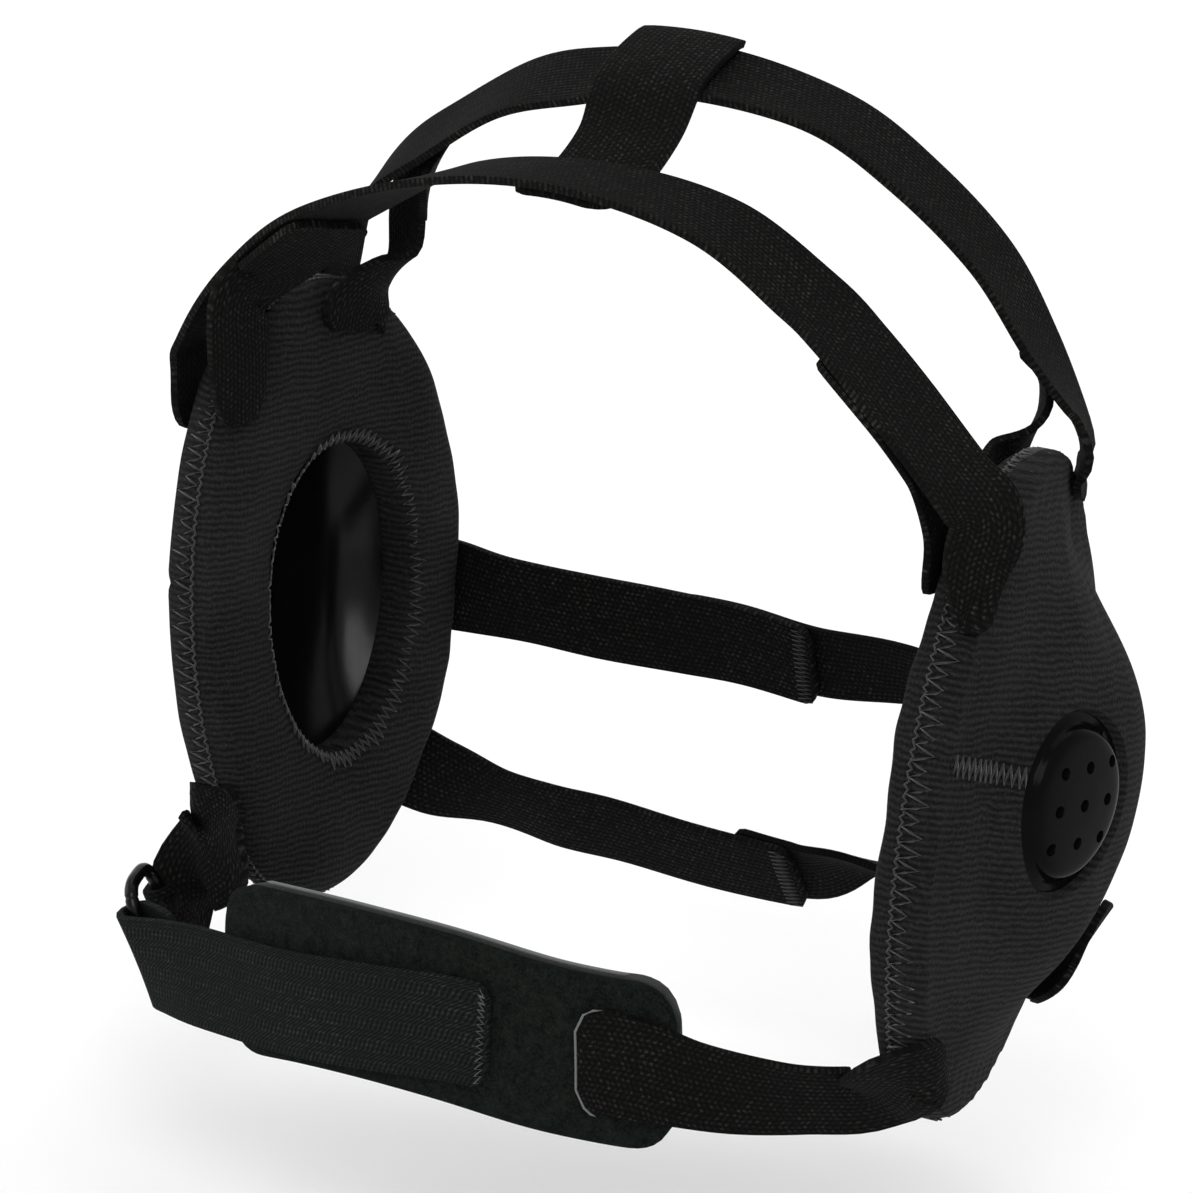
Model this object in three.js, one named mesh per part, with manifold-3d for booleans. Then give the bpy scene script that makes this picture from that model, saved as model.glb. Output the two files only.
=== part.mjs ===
// Youth wrestling ear guard: two padded ear cups joined over the crown, behind the head and under the chin.
// Millimetres. +X is the wearer's left, -Y is the way the face looks, +Z is up.
// The origin is the middle of the crown bridge's underside, where the guard sits on the head.
import * as THREE from 'three';
import { mergeVertices } from 'three/addons/utils/BufferGeometryUtils.js';
import Module from 'manifold-3d';

const wasm = await Module();
wasm.setup();

// Distances over the head
const halfSpan = 76;            // middle of the head to the inner face of an ear cup
const frontCrownHeight = 102;   // ear line up to the front crown strap
const rearCrownHeight = 112;    // ear line up to the rear crown strap
const crownSpread = 39;         // front crown strap to rear crown strap, along the top
const crownCentreHeight = 20;   // ear line up to the centre that the crown straps wrap round
const napeReach = 52;           // ear line back to the two back straps
const upperNapeDrop = 11;       // ear line down to the upper back strap
const lowerNapeDrop = 56;       // ear line down to the lower back strap
const chinReach = 62;           // ear line forward to the chin pad
const chinDrop = 50;            // ear line down to the chin pad

// Ear cup
const cupHeight = 121;
const cupFront = 34;            // cup's middle line to its front edge
const cupRear = 40;             // cup's middle line to its rear edge
const cupTaper = 0.07;          // how much wider than its middle the cup is at the top
const padDepth = 8;             // foam ring, inner face to the shell's flange
const seamDepth = 2.5;          // inner face to the seam where the cover starts
const shellDepth = 12.5;        // flange to the middle of the vent boss
const shellWall = 2;
const coverWall = 1.4;
const coverCrown = 1.2;         // how far the pad's face swells towards the head
const earHoleWidth = 41;
const earHoleHeight = 61;
const earHoleBack = 5.5;        // ear opening behind the cup's middle
const earHoleDrop = 2;          // ear opening below the cup's middle
const ventDiameter = 2.6;
const ventPitch = 7.6;
const ventCount = 3;            // vents in each of the boss's three rows
const fitGap = 0.35;            // clearance between pieces that touch

// Webbing, chin pad and ring
const webWidth = 19;
const webWall = 1.6;
const bridgeWidth = 22;
const linkWidth = 16;
const chinStrapWidth = 17;
const plyGap = 0.4;             // clearance between two plies that are sewn together
const chinPadHeight = 33;
const chinShellWall = 1.8;
const chinLiningWall = 3.4;
const chinTabWidth = 21;
const ringLength = 27;
const ringBreadth = 15;
const ringWire = 3.2;
const tabTail = 13;             // turned-back end of a strap that is folded round the ring

// Fineness of the faceted forms
const cupSides = 40;
const ventSides = 8;
const ringSides = 20;
const ringCorner = 0.6;         // 1 is an oval ring, less is squarer
const foldStep = 3;             // length of one facet along a folded strap
const strapStep = 7.5;          // length of one facet along a strap

// Where each cup sits and how it is turned, in degrees; ahead is a share of half the span
const cupPoses = [
  { side: -1, name: 'right', ahead: -0.09, splay: 5, pitch: 6, lean: 3.5 },
  { side: 1, name: 'left', ahead: 0.1, splay: 9, pitch: 17, lean: 0 },
];

// Rings of the shell's outer face, from the flange to the middle of the boss. wide and high are shares of
// the cup's outline, ahead is a share of its front half, rise is a share of the shell's depth, tilt is in degrees.
const shellRings = [
  { wide: 1.0, high: 1.0, ahead: 0.0, rise: 0.0, tilt: 0 },
  { wide: 0.98, high: 0.97, ahead: 0.0, rise: 0.03, tilt: 0 },
  { wide: 0.92, high: 0.85, ahead: -0.02, rise: 0.08, tilt: 1 },
  { wide: 0.82, high: 0.71, ahead: -0.08, rise: 0.27, tilt: 1.5 },
  { wide: 0.7, high: 0.57, ahead: -0.12, rise: 0.6, tilt: 10 },
  { wide: 0.56, high: 0.44, ahead: -0.08, rise: 0.86, tilt: 13 },
  { wide: 0.4, high: 0.275, ahead: 0.02, rise: 0.93, tilt: 15 },
];
// The boss that stands up through the cover's window carries on from the last ring
const bossRings = [
  { wide: 0.35, high: 0.24, ahead: 0.02, rise: 0.95, tilt: 15 },
  { wide: 0.31, high: 0.21, ahead: 0.02, rise: 1.14, tilt: 15 },
  { wide: 0.26, high: 0.18, ahead: 0.02, rise: 1.19, tilt: 15 },
];

const rad = THREE.MathUtils.degToRad;
const vec = (x, y, z) => new THREE.Vector3(x, y, z);
const finish = (color, roughness) => new THREE.MeshStandardMaterial({ color, roughness, metalness: 0 });
const knit = finish(0x2b2b2d, 0.95);
const webbing = finish(0x131312, 0.9);
const plastic = finish(0x0b0b0b, 0.35);
const chinCloth = finish(0x161a17, 0.9);
const foam = finish(0x3a3d3c, 0.95);

const guard = new THREE.Group();

// Skins a stack of closed loops of points with triangles; the stack either closes on itself or has two caps
function loftGeometry(loops, closed) {
  const sides = loops[0].length;
  const points = loops.flat();
  const faces = [];
  const spans = closed ? loops.length : loops.length - 1;
  for (let i = 0; i < spans; i += 1) {
    const here = i * sides;
    const there = ((i + 1) % loops.length) * sides;
    for (let j = 0; j < sides; j += 1) {
      const k = (j + 1) % sides;
      faces.push(here + j, here + k, there + k, here + j, there + k, there + j);
    }
  }
  if (!closed) {
    for (const [first, flip] of [[0, true], [(loops.length - 1) * sides, false]]) {
      const centre = vec(0, 0, 0);
      for (let j = 0; j < sides; j += 1) centre.addScaledVector(points[first + j], 1 / sides);
      points.push(centre);
      for (let j = 0; j < sides; j += 1) {
        const k = (j + 1) % sides;
        faces.push(points.length - 1, first + (flip ? k : j), first + (flip ? j : k));
      }
    }
  }
  const geometry = new THREE.BufferGeometry().setFromPoints(points);
  geometry.setIndex(faces);
  return facingOut(geometry);
}

// Turns every triangle round when the closed surface encloses a negative volume
function facingOut(geometry) {
  const place = geometry.attributes.position;
  const index = geometry.index.array;
  const [a, b, c] = [vec(0, 0, 0), vec(0, 0, 0), vec(0, 0, 0)];
  let volume = 0;
  for (let i = 0; i < index.length; i += 3) {
    a.fromBufferAttribute(place, index[i]);
    b.fromBufferAttribute(place, index[i + 1]);
    c.fromBufferAttribute(place, index[i + 2]);
    volume += a.dot(b.cross(c));
  }
  if (volume < 0) {
    for (let i = 0; i < index.length; i += 3) [index[i + 1], index[i + 2]] = [index[i + 2], index[i + 1]];
  }
  return geometry;
}

function addPiece(parent, name, geometry, material) {
  geometry.computeVertexNormals();
  const piece = new THREE.Mesh(geometry, material);
  piece.name = name;
  parent.add(piece);
  return piece;
}

function toSolid(geometry) {
  const bare = geometry.clone();
  bare.deleteAttribute('normal');
  bare.deleteAttribute('uv');
  const merged = mergeVertices(bare, 1e-4);
  return new wasm.Manifold(new wasm.Mesh({
    numProp: 3,
    vertProperties: new Float32Array(merged.attributes.position.array),
    triVerts: new Uint32Array(merged.index.array),
  }));
}

function fromSolid(solid) {
  const mesh = solid.getMesh();
  const geometry = new THREE.BufferGeometry();
  geometry.setAttribute('position', new THREE.BufferAttribute(new Float32Array(mesh.vertProperties), 3));
  geometry.setIndex(new THREE.BufferAttribute(new Uint32Array(mesh.triVerts), 1));
  return geometry;
}

// A cup is drawn in its own frame: x towards the face (mirrored on the left cup), y up, z away from the head.
// A ring is an oval with a flatter front half, a little narrower at the bottom.
function cupLoop({ front, rear, high, ahead = 0, up = 0, depth, tilt = 0 }) {
  const loop = [];
  for (let i = 0; i < cupSides; i += 1) {
    const angle = (i / cupSides) * 2 * Math.PI;
    const y = high * Math.sin(angle);
    const reach = Math.cos(angle) > 0 ? front : rear;
    const x = reach * Math.cos(angle) * (1 + cupTaper * Math.sin(angle));
    loop.push(vec(x + ahead, y + up, depth - x * Math.tan(rad(tilt))));
  }
  return loop;
}

// The cup's outline, drawn in by inset, at some depth
function rimLoop(inset, depth) {
  return cupLoop({ front: cupFront - inset, rear: cupRear - inset, high: cupHeight / 2 - inset, depth });
}

// The ear opening's outline, opened out by flare, at some depth
function earLoop(flare, depth) {
  const half = earHoleWidth / 2 + flare;
  const high = earHoleHeight / 2 + flare;
  return cupLoop({ front: half, rear: half, high, ahead: -earHoleBack, up: -earHoleDrop, depth });
}

// A ring of the shell's outer face, moved in (or out) by inset and lowered (or raised) by drop
function shellLoop(ring, inset, drop) {
  const tuck = coverWall + fitGap;
  return cupLoop({
    front: (cupFront - tuck) * ring.wide - inset,
    rear: (cupRear - tuck) * ring.wide - inset,
    high: (cupHeight / 2 - tuck) * ring.high - inset,
    ahead: cupFront * ring.ahead,
    depth: padDepth + fitGap + shellDepth * ring.rise - drop,
    tilt: ring.tilt,
  });
}

// Soft ring round the ear: a swollen face, a rounded ear opening, and a rabbet for the cover's edge
function padGeometry() {
  const tuck = coverWall + fitGap;
  const outer = rimLoop(coverWall, 0);
  const inner = earLoop(coverWall, 0);
  const swell = outer.map((point, i) => point.clone().lerp(inner[i], 0.5).setZ(-coverCrown));
  const loops = [
    rimLoop(tuck, padDepth),
    rimLoop(tuck, seamDepth),
    rimLoop(0, seamDepth - fitGap),
    outer,
    swell,
    inner,
    earLoop(0, seamDepth),
    earLoop(coverWall, padDepth),
  ];
  return loftGeometry(loops, true);
}

// Hard dome with an even wall, raised boss and a grid of vents drilled through the boss
function shellGeometry() {
  const rings = [...shellRings, ...bossRings];
  const outer = rings.map((ring) => shellLoop(ring, 0, 0));
  const inner = rings.slice(3).map((ring) => shellLoop(ring, shellWall, shellWall));
  const lip = shellLoop(shellRings[0], shellWall, 0);
  const dome = toSolid(loftGeometry([...inner.reverse(), lip, ...outer], false));
  const boss = bossRings[bossRings.length - 1];
  const drill = new THREE.CylinderGeometry(ventDiameter / 2, ventDiameter / 2, shellDepth, ventSides);
  drill.rotateX(Math.PI / 2);
  let vented = dome;
  for (let row = -1; row <= 1; row += 1) {
    for (let n = 0; n < ventCount; n += 1) {
      const x = (n - (ventCount - 1) / 2) * ventPitch;
      const y = row * ventPitch + x * Math.tan(rad(boss.tilt)) / 2;
      const hole = drill.clone().translate(x, y, padDepth + shellDepth * boss.rise);
      vented = vented.subtract(toSolid(hole));
    }
  }
  return fromSolid(vented);
}

// Knitted cover: follows the shell at a small gap, wraps the pad's edge and is open over the boss
function coverGeometry() {
  const under = (ring) => shellLoop(ring, -fitGap, -fitGap);
  const over = (ring) => shellLoop(ring, -fitGap - coverWall, -fitGap - coverWall);
  const hem = seamDepth + fitGap;
  const seamOut = rimLoop(0, hem);
  const seamIn = rimLoop(coverWall, hem);
  const loops = [seamIn, ...shellRings.map(under), ...shellRings.map(over).reverse(), seamOut];
  return loftGeometry(loops, true);
}

const cups = {};
for (const pose of cupPoses) {
  const [splay, pitch, lean] = [rad(pose.splay), rad(pose.pitch), rad(pose.lean)];
  const out = vec(pose.side, 0, 0);
  const level = vec(0, -Math.cos(pitch), Math.sin(pitch));
  const ahead = level.clone().multiplyScalar(Math.cos(splay)).addScaledVector(out, Math.sin(splay));
  const flat = out.clone().multiplyScalar(Math.cos(splay)).addScaledVector(level, -Math.sin(splay));
  const upright = vec(0, Math.sin(pitch), Math.cos(pitch));
  const up = upright.clone().multiplyScalar(Math.cos(lean)).addScaledVector(flat, Math.sin(lean));
  const away = flat.clone().multiplyScalar(Math.cos(lean)).addScaledVector(upright, -Math.sin(lean));
  const group = new THREE.Group();
  const across = ahead.clone().multiplyScalar(-pose.side);
  group.setRotationFromMatrix(new THREE.Matrix4().makeBasis(across, up, away));
  group.position.set(pose.side * halfSpan, -pose.ahead * halfSpan, 0);
  guard.add(group);
  for (const [kind, shape, material] of [
    ['ear_pad', padGeometry(), knit],
    ['ear_shell', shellGeometry(), plastic],
    ['ear_cover', coverGeometry(), knit],
  ]) {
    shape.scale(-pose.side, 1, 1);
    if (pose.side > 0) facingOut(shape);
    addPiece(group, `${kind}_${pose.name}`, shape, material);
  }
  cups[pose.name] = { group, centre: group.position.clone(), ahead, up, away };
}

// A place on or near a cup: ahead and up are shares of its front (or rear) and height, out is in millimetres
function onCup(name, ahead, up, out) {
  const cup = cups[name];
  return cup.centre.clone()
    .addScaledVector(cup.ahead, ahead * (ahead > 0 ? cupFront : cupRear))
    .addScaledVector(cup.up, up * cupHeight / 2)
    .addScaledVector(cup.away, out);
}

// Turns the facing of a band from straight out of the cup by so many degrees towards the face and upwards
function cupFacing(name, forward, upward) {
  const cup = cups[name];
  return cup.away.clone()
    .addScaledVector(cup.ahead, Math.tan(rad(forward)))
    .addScaledVector(cup.up, Math.tan(rad(upward)))
    .normalize();
}

// A flat band lofted through stations { at, facing, wide }; lift moves the whole band out along its facing
function bandGeometry(stations, width, wall, lift, step) {
  const path = new THREE.CatmullRomCurve3(stations.map((s) => s.at), false, 'centripetal');
  const count = Math.max(8, Math.round(path.getLength() / step));
  const loops = [];
  const last = stations.length - 1;
  for (let i = 0; i <= count; i += 1) {
    const t = (i / count) * last;
    const k = Math.min(last - 1, Math.floor(t));
    const f = t - k;
    const along = path.getTangent(i / count);
    const out = stations[k].facing.clone().lerp(stations[k + 1].facing, f);
    out.addScaledVector(along, -out.dot(along)).normalize();
    const side = along.clone().cross(out);
    const half = width / 2 * THREE.MathUtils.lerp(stations[k].wide ?? 1, stations[k + 1].wide ?? 1, f);
    const middle = path.getPoint(i / count).addScaledVector(out, lift);
    loops.push([[-1, -1], [1, -1], [1, 1], [-1, 1]].map(([a, b]) => middle.clone()
      .addScaledVector(side, a * half)
      .addScaledVector(out, b * wall / 2)));
  }
  return loftGeometry(loops, false);
}

// A keep-out body round a cup, a little larger than its pad and cover together
function cupHull(pose) {
  const skin = fitGap + coverWall;
  const grown = (ring) => shellLoop(ring, -skin - fitGap, -skin - fitGap);
  const face = -coverCrown - fitGap;
  const loops = [rimLoop(-fitGap, face), rimLoop(-fitGap, seamDepth), ...shellRings.map(grown)];
  return loftGeometry(loops, false).scale(-pose.side, 1, 1);
}

const hulls = cupPoses.map((pose) => {
  const hull = cupHull(pose);
  facingOut(hull);
  cups[pose.name].group.updateMatrix();
  return toSolid(hull.applyMatrix4(cups[pose.name].group.matrix));
});

// Adds a band after trimming away whatever would enter a cup, the ring or a band that it is laid on
const keepOut = {};
function addBand(name, stations, { width, wall = webWall, lift = 0, step = strapStep, material = webbing, clear = [] }) {
  let solid = toSolid(bandGeometry(stations, width, wall, lift, step));
  for (const hull of hulls) solid = solid.subtract(hull);
  for (const other of clear) solid = solid.subtract(keepOut[other]);
  keepOut[name] = toSolid(bandGeometry(stations, width + 2 * fitGap, wall + 2 * fitGap, lift, step));
  return addPiece(guard, name, fromSolid(solid), material);
}

// Head stations: across, ahead and up are places over the head, roll turns the band about its own length
function headStations(rows, centre, scale) {
  const places = rows.map((row) => vec(row.across * scale.across, -row.ahead * scale.ahead, row.up * scale.up));
  return rows.map((row, i) => {
    const before = places[Math.max(0, i - 1)];
    const after = places[Math.min(rows.length - 1, i + 1)];
    const along = after.clone().sub(before).normalize();
    const out = places[i].clone().sub(centre);
    out.addScaledVector(along, -out.dot(along)).normalize();
    const facing = out.clone().applyAxisAngle(along, rad(row.roll));
    return { at: places[i], facing, wide: row.wide ?? 1 };
  });
}

// A station on a cup: place as for onCup, turned by forward and upward degrees from straight out of the cup
function cupStation(name, ahead, up, out, forward, upward, wide = 1) {
  return { at: onCup(name, ahead, up, out), facing: cupFacing(name, forward, upward), wide };
}

const crownCentre = vec(0, 0, crownCentreHeight);
const frontScale = { across: halfSpan, ahead: crownSpread, up: frontCrownHeight };
const rearScale = { across: halfSpan, ahead: crownSpread, up: rearCrownHeight };
const plyStep = webWall + plyGap;

// The same stations one ply further in, or one ply further out
const moved = (stations, by) => stations.map((s) => ({ ...s, at: s.at.clone().addScaledVector(s.facing, by) }));
const under = (stations) => moved(stations, -plyStep);
const over = (stations) => moved(stations, plyStep + fitGap);

// Front crown strap, from the left cup's front corner over the head to the right cup's
const frontCrown = headStations([
  { across: 1.06, ahead: 0.52, up: 0.62, roll: 4 },
  { across: 0.88, ahead: 0.44, up: 0.72, roll: 5 },
  { across: 0.74, ahead: 0.385, up: 0.795, roll: 6 },
  { across: 0.62, ahead: 0.36, up: 0.855, roll: 6 },
  { across: 0.38, ahead: 0.42, up: 0.965, roll: 9 },
  { across: 0.0, ahead: 0.44, up: 1.0, roll: 14 },
  { across: -0.42, ahead: 0.39, up: 0.945, roll: 14 },
  { across: -0.79, ahead: 0.25, up: 0.815, roll: 28 },
  { across: -1.02, ahead: 0.2, up: 0.68, roll: 26 },
], crownCentre, frontScale);
const frontInnerLeft = under(frontCrown.slice(1, 4).reverse());
const frontInnerRight = under(frontCrown.slice(7));
frontCrown.unshift(
  cupStation('left', 0.92, 0.52, 7.5, 42, 5, 0.1),
  cupStation('left', 0.9, 0.64, 8, 42, 8),
  cupStation('left', 0.86, 0.84, 8, 38, 14),
);
frontCrown.push(
  cupStation('right', 0.5, 0.84, 14, 12, 16),
  cupStation('right', 0.5, 0.66, 16, 12, 14),
  cupStation('right', 0.46, 0.54, 18.5, 12, 14, 0.1),
);
addBand('front_crown_strap', frontCrown, { width: webWidth });

// Inner ends of the front crown strap, sewn on the faces of the pads
addBand('front_inner_tab_left', [
  ...frontInnerLeft,
  cupStation('left', 0.76, 0.94, -6, 25, 10, 0.9),
  cupStation('left', 0.66, 0.74, -2.6, 0, 0),
  cupStation('left', 0.6, 0.54, -2.4, 0, 0, 0.5),
], { width: webWidth, clear: ['front_crown_strap'] });
addBand('front_inner_tab_right', [
  ...frontInnerRight,
  cupStation('right', 0.74, 1.02, -3, 0, 0, 0.9),
  cupStation('right', 0.74, 0.8, -2.6, 0, 0, 0.9),
  cupStation('right', 0.74, 0.6, -2.4, 0, 0, 0.4),
], { width: webWidth, clear: ['front_crown_strap'] });

// Rear crown strap
const rearCrown = headStations([
  { across: 1.11, ahead: -0.64, up: 0.49, roll: 18 },
  { across: 1.05, ahead: -0.63, up: 0.545, roll: 12 },
  { across: 0.95, ahead: -0.615, up: 0.65, roll: -2 },
  { across: 0.815, ahead: -0.605, up: 0.777, roll: -6 },
  { across: 0.605, ahead: -0.59, up: 0.887, roll: -10 },
  { across: 0.36, ahead: -0.575, up: 0.97, roll: -16 },
  { across: 0.0, ahead: -0.565, up: 1.0, roll: -27 },
  { across: -0.3, ahead: -0.58, up: 0.96, roll: -33 },
  { across: -0.55, ahead: -0.615, up: 0.91, roll: -35 },
  { across: -0.815, ahead: -0.69, up: 0.8, roll: -38 },
  { across: -0.985, ahead: -0.72, up: 0.714, roll: -36 },
  { across: -1.1, ahead: -0.7, up: 0.6, roll: -30 },
], crownCentre, rearScale);
const rearInnerLeft = under(rearCrown.slice(2, 3));
const rearInnerRight = under(rearCrown.slice(9, 11));
rearCrown.unshift(
  cupStation('left', -0.1, 0.82, 12, -20, 10, 0.3),
  cupStation('left', -0.12, 0.92, 10.5, -40, 20, 0.6),
);
rearCrown.push(
  cupStation('right', -0.36, 0.9, 14, 0, 20),
  cupStation('right', -0.34, 0.72, 17, 0, 14, 0.3),
);
addBand('rear_crown_strap', rearCrown, { width: webWidth });

// Inner ends of the rear crown strap
addBand('rear_inner_tab_left', [
  ...rearInnerLeft,
  cupStation('left', -0.26, 1.12, 1, -30, 0, 0.4),
  cupStation('left', -0.1, 0.94, -2.8, 0, 0, 0.8),
  cupStation('left', 0.14, 0.84, -2.5, 0, 0, 0.9),
  cupStation('left', 0.26, 0.78, -2.4, 0, 0, 0.7),
], { width: webWidth, clear: ['rear_crown_strap'] });
addBand('rear_inner_tab_right', [
  ...rearInnerRight,
  cupStation('right', -0.36, 1.1, -2.5, 35, 0),
  cupStation('right', -0.16, 0.95, -2.6, 5, 0),
  cupStation('right', -0.1, 0.8, -2.4, 0, 0, 0.9),
], { width: webWidth, clear: ['rear_crown_strap'] });

// Short strap that starts under the front crown strap and wraps over the rear one
const frontUnder = frontCrownHeight - plyStep;
const rearOver = rearCrownHeight + plyStep;
const bridge = [
  { at: vec(-halfSpan * 0.02, -crownSpread * 0.6, frontUnder * 0.997), facing: vec(0, 0, 1), wide: 0.95 },
  { at: vec(-halfSpan * 0.02, -crownSpread * 0.28, frontUnder * 0.994), facing: vec(0, -0.1, 1), wide: 0.95 },
  { at: vec(-halfSpan * 0.03, crownSpread * 0.06, frontUnder * 1.05), facing: vec(0, -0.4, 1) },
  { at: vec(-halfSpan * 0.06, crownSpread * 0.33, rearOver * 0.988), facing: vec(0, -0.25, 1) },
  { at: vec(-halfSpan * 0.09, crownSpread * 0.76, rearOver * 1.022), facing: vec(0, 0, 1) },
  { at: vec(-halfSpan * 0.09, crownSpread * 0.86, rearCrownHeight * 1.015), facing: vec(0, 1, 0.2) },
];
addBand('crown_bridge', bridge, { width: bridgeWidth, clear: ['front_crown_strap', 'rear_crown_strap'] });

// Two straps behind the head, each an inner strap from the right cup lapped over a link from the left one
const upperCentre = vec(0, 0, -upperNapeDrop);
const upperScale = { across: halfSpan, ahead: napeReach, up: upperNapeDrop };
const upperBack = headStations([
  { across: -0.76, ahead: -0.9, up: -0.9, roll: 14 },
  { across: -0.54, ahead: -0.95, up: -1.0, roll: 14 },
  { across: -0.32, ahead: -0.98, up: -1.0, roll: 12 },
  { across: -0.13, ahead: -1.0, up: -1.0, roll: 14 },
  { across: 0.1, ahead: -1.0, up: -1.1, roll: 18 },
], upperCentre, upperScale);
upperBack.unshift(
  cupStation('right', -0.92, -0.1, 14.5, -55, 0, 0.9),
  cupStation('right', -1.05, -0.1, 5, -75, 0),
);
addBand('upper_back_strap', upperBack, { width: webWidth });

const upperLink = over(headStations([
  { across: -0.32, ahead: -0.98, up: -1.0, roll: 12 },
  { across: -0.13, ahead: -1.0, up: -1.0, roll: 14 },
  { across: 0.1, ahead: -1.0, up: -1.1, roll: 18 },
  { across: 0.4, ahead: -0.97, up: -0.9, roll: 26 },
  { across: 0.7, ahead: -0.85, up: -0.9, roll: 26 },
], upperCentre, upperScale));
upperLink.push(
  cupStation('left', -1.05, -0.05, 5, -75, 0),
  cupStation('left', -0.92, -0.05, 14.5, -55, 0, 0.9),
);
addBand('upper_back_link', upperLink, { width: linkWidth, clear: ['upper_back_strap'] });

const lowerCentre = vec(0, 0, -lowerNapeDrop);
const lowerScale = { across: halfSpan, ahead: napeReach, up: lowerNapeDrop };
const lowerBack = headStations([
  { across: -0.83, ahead: -0.88, up: -0.93, roll: 31 },
  { across: -0.66, ahead: -0.92, up: -0.965, roll: 28 },
  { across: -0.49, ahead: -0.96, up: -0.98, roll: 26 },
  { across: -0.25, ahead: -0.99, up: -1.01, roll: 26 },
  { across: 0.06, ahead: -1.0, up: -1.01, roll: 30 },
], lowerCentre, lowerScale);
lowerBack.unshift(
  cupStation('right', -0.4, -0.6, 18, -40, -20, 0.5),
  cupStation('right', -0.75, -0.68, 11, -60, -10),
  cupStation('right', -0.95, -0.74, 3, -80, 0),
);
addBand('lower_back_strap', lowerBack, { width: linkWidth * 1.08 });

const lowerLink = over(headStations([
  { across: -0.15, ahead: -1.0, up: -1.01, roll: 28 },
  { across: 0.06, ahead: -1.0, up: -1.01, roll: 32 },
  { across: 0.22, ahead: -0.99, up: -0.94, roll: 60 },
  { across: 0.4, ahead: -0.97, up: -0.92, roll: 66 },
  { across: 0.66, ahead: -0.9, up: -0.93, roll: 50 },
], lowerCentre, lowerScale));
lowerLink.push(
  cupStation('left', -0.98, -0.6, 4, -70, -10),
  cupStation('left', -0.8, -0.56, 12, -50, -10, 0.8),
  cupStation('left', -0.45, -0.46, 19, -30, -20, 0.6),
);
addBand('lower_back_link', lowerLink, { width: linkWidth, clear: ['lower_back_strap'] });

// Chin piece: a curved plate with a foam lining, held by a strap from each side
const chinCentre = vec(0, 0, -chinDrop);
const chinScale = { across: halfSpan, ahead: chinReach, up: chinDrop };
const chinPad = headStations([
  { across: -0.76, ahead: 0.84, up: -1.05, roll: 0, wide: 0.7 },
  { across: -0.72, ahead: 0.86, up: -1.04, roll: 0 },
  { across: -0.5, ahead: 0.925, up: -0.985, roll: 0 },
  { across: -0.25, ahead: 0.98, up: -0.94, roll: 0 },
  { across: 0.0, ahead: 1.0, up: -0.925, roll: 0 },
  { across: 0.25, ahead: 0.97, up: -0.96, roll: 0 },
  { across: 0.43, ahead: 0.915, up: -0.98, roll: 0 },
  { across: 0.54, ahead: 0.87, up: -0.98, roll: 0 },
  { across: 0.59, ahead: 0.85, up: -0.98, roll: 0, wide: 0.7 },
], chinCentre, chinScale);
const padLift = -(webWall + chinShellWall) / 2 - plyGap;
const liningLift = padLift - (chinShellWall + chinLiningWall) / 2 - plyGap;
const chinPiece = { width: chinPadHeight, wall: chinShellWall, material: chinCloth };
addBand('chin_pad', chinPad, { ...chinPiece, lift: padLift });
addBand('chin_lining', chinPad, { ...chinPiece, wall: chinLiningWall, material: foam, lift: liningLift });

// Ring between the right cup's strap and the chin piece: a rounded rectangle of wire
const ringLong = vec(-0.3, -0.15, 0.94).normalize();
const ringShort = vec(-0.35, 0.93, 0.05).normalize();
const tabBar = vec(-halfSpan * 1.105, -chinReach * 0.645, -chinDrop * 1.22);
const ringCentre = tabBar.clone().addScaledVector(ringShort, ringBreadth / 2);
const squared = (value) => Math.sign(value) * Math.abs(value) ** ringCorner;

function ringPoint(angle) {
  return ringCentre.clone()
    .addScaledVector(ringShort, squared(Math.cos(angle)) * ringBreadth / 2)
    .addScaledVector(ringLong, squared(Math.sin(angle)) * ringLength / 2);
}

function ringGeometry(radius) {
  const normal = ringLong.clone().cross(ringShort);
  const loops = [];
  for (let i = 0; i < ringSides; i += 1) {
    const angle = ((i + 0.5) / ringSides) * 2 * Math.PI;
    const middle = ringPoint(angle);
    const along = ringPoint(angle + 0.1).sub(ringPoint(angle - 0.1)).normalize();
    const side = along.clone().cross(normal);
    loops.push(Array.from({ length: ventSides }, (_, k) => middle.clone()
      .addScaledVector(normal, radius * Math.cos((k / ventSides) * 2 * Math.PI))
      .addScaledVector(side, radius * Math.sin((k / ventSides) * 2 * Math.PI))));
  }
  return loftGeometry(loops, true);
}
addPiece(guard, 'chin_ring', ringGeometry(ringWire / 2), plastic);
hulls.push(toSolid(ringGeometry(ringWire / 2 + fitGap)));

// The end of a band folded round a bar: there, round, and back under itself by tail
function foldRound(bar, along, out, tail, wide) {
  const reach = ringWire / 2 + fitGap + webWall / 2;
  const back = out.clone().negate();
  const place = (a, b) => bar.clone().addScaledVector(along, a).addScaledVector(out, b * reach);
  const corner = out.clone().add(along).normalize();
  const farCorner = back.clone().add(along).normalize();
  return [
    { at: place(-reach, 1), facing: out, wide },
    { at: place(0, 1), facing: out, wide },
    { at: place(reach * 0.7, 0.7), facing: corner, wide },
    { at: place(reach, 0), facing: along, wide },
    { at: place(reach * 0.7, -0.7), facing: farCorner, wide },
    { at: place(0, -1), facing: back, wide },
    { at: place(-tail, -1), facing: back, wide },
  ];
}

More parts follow.
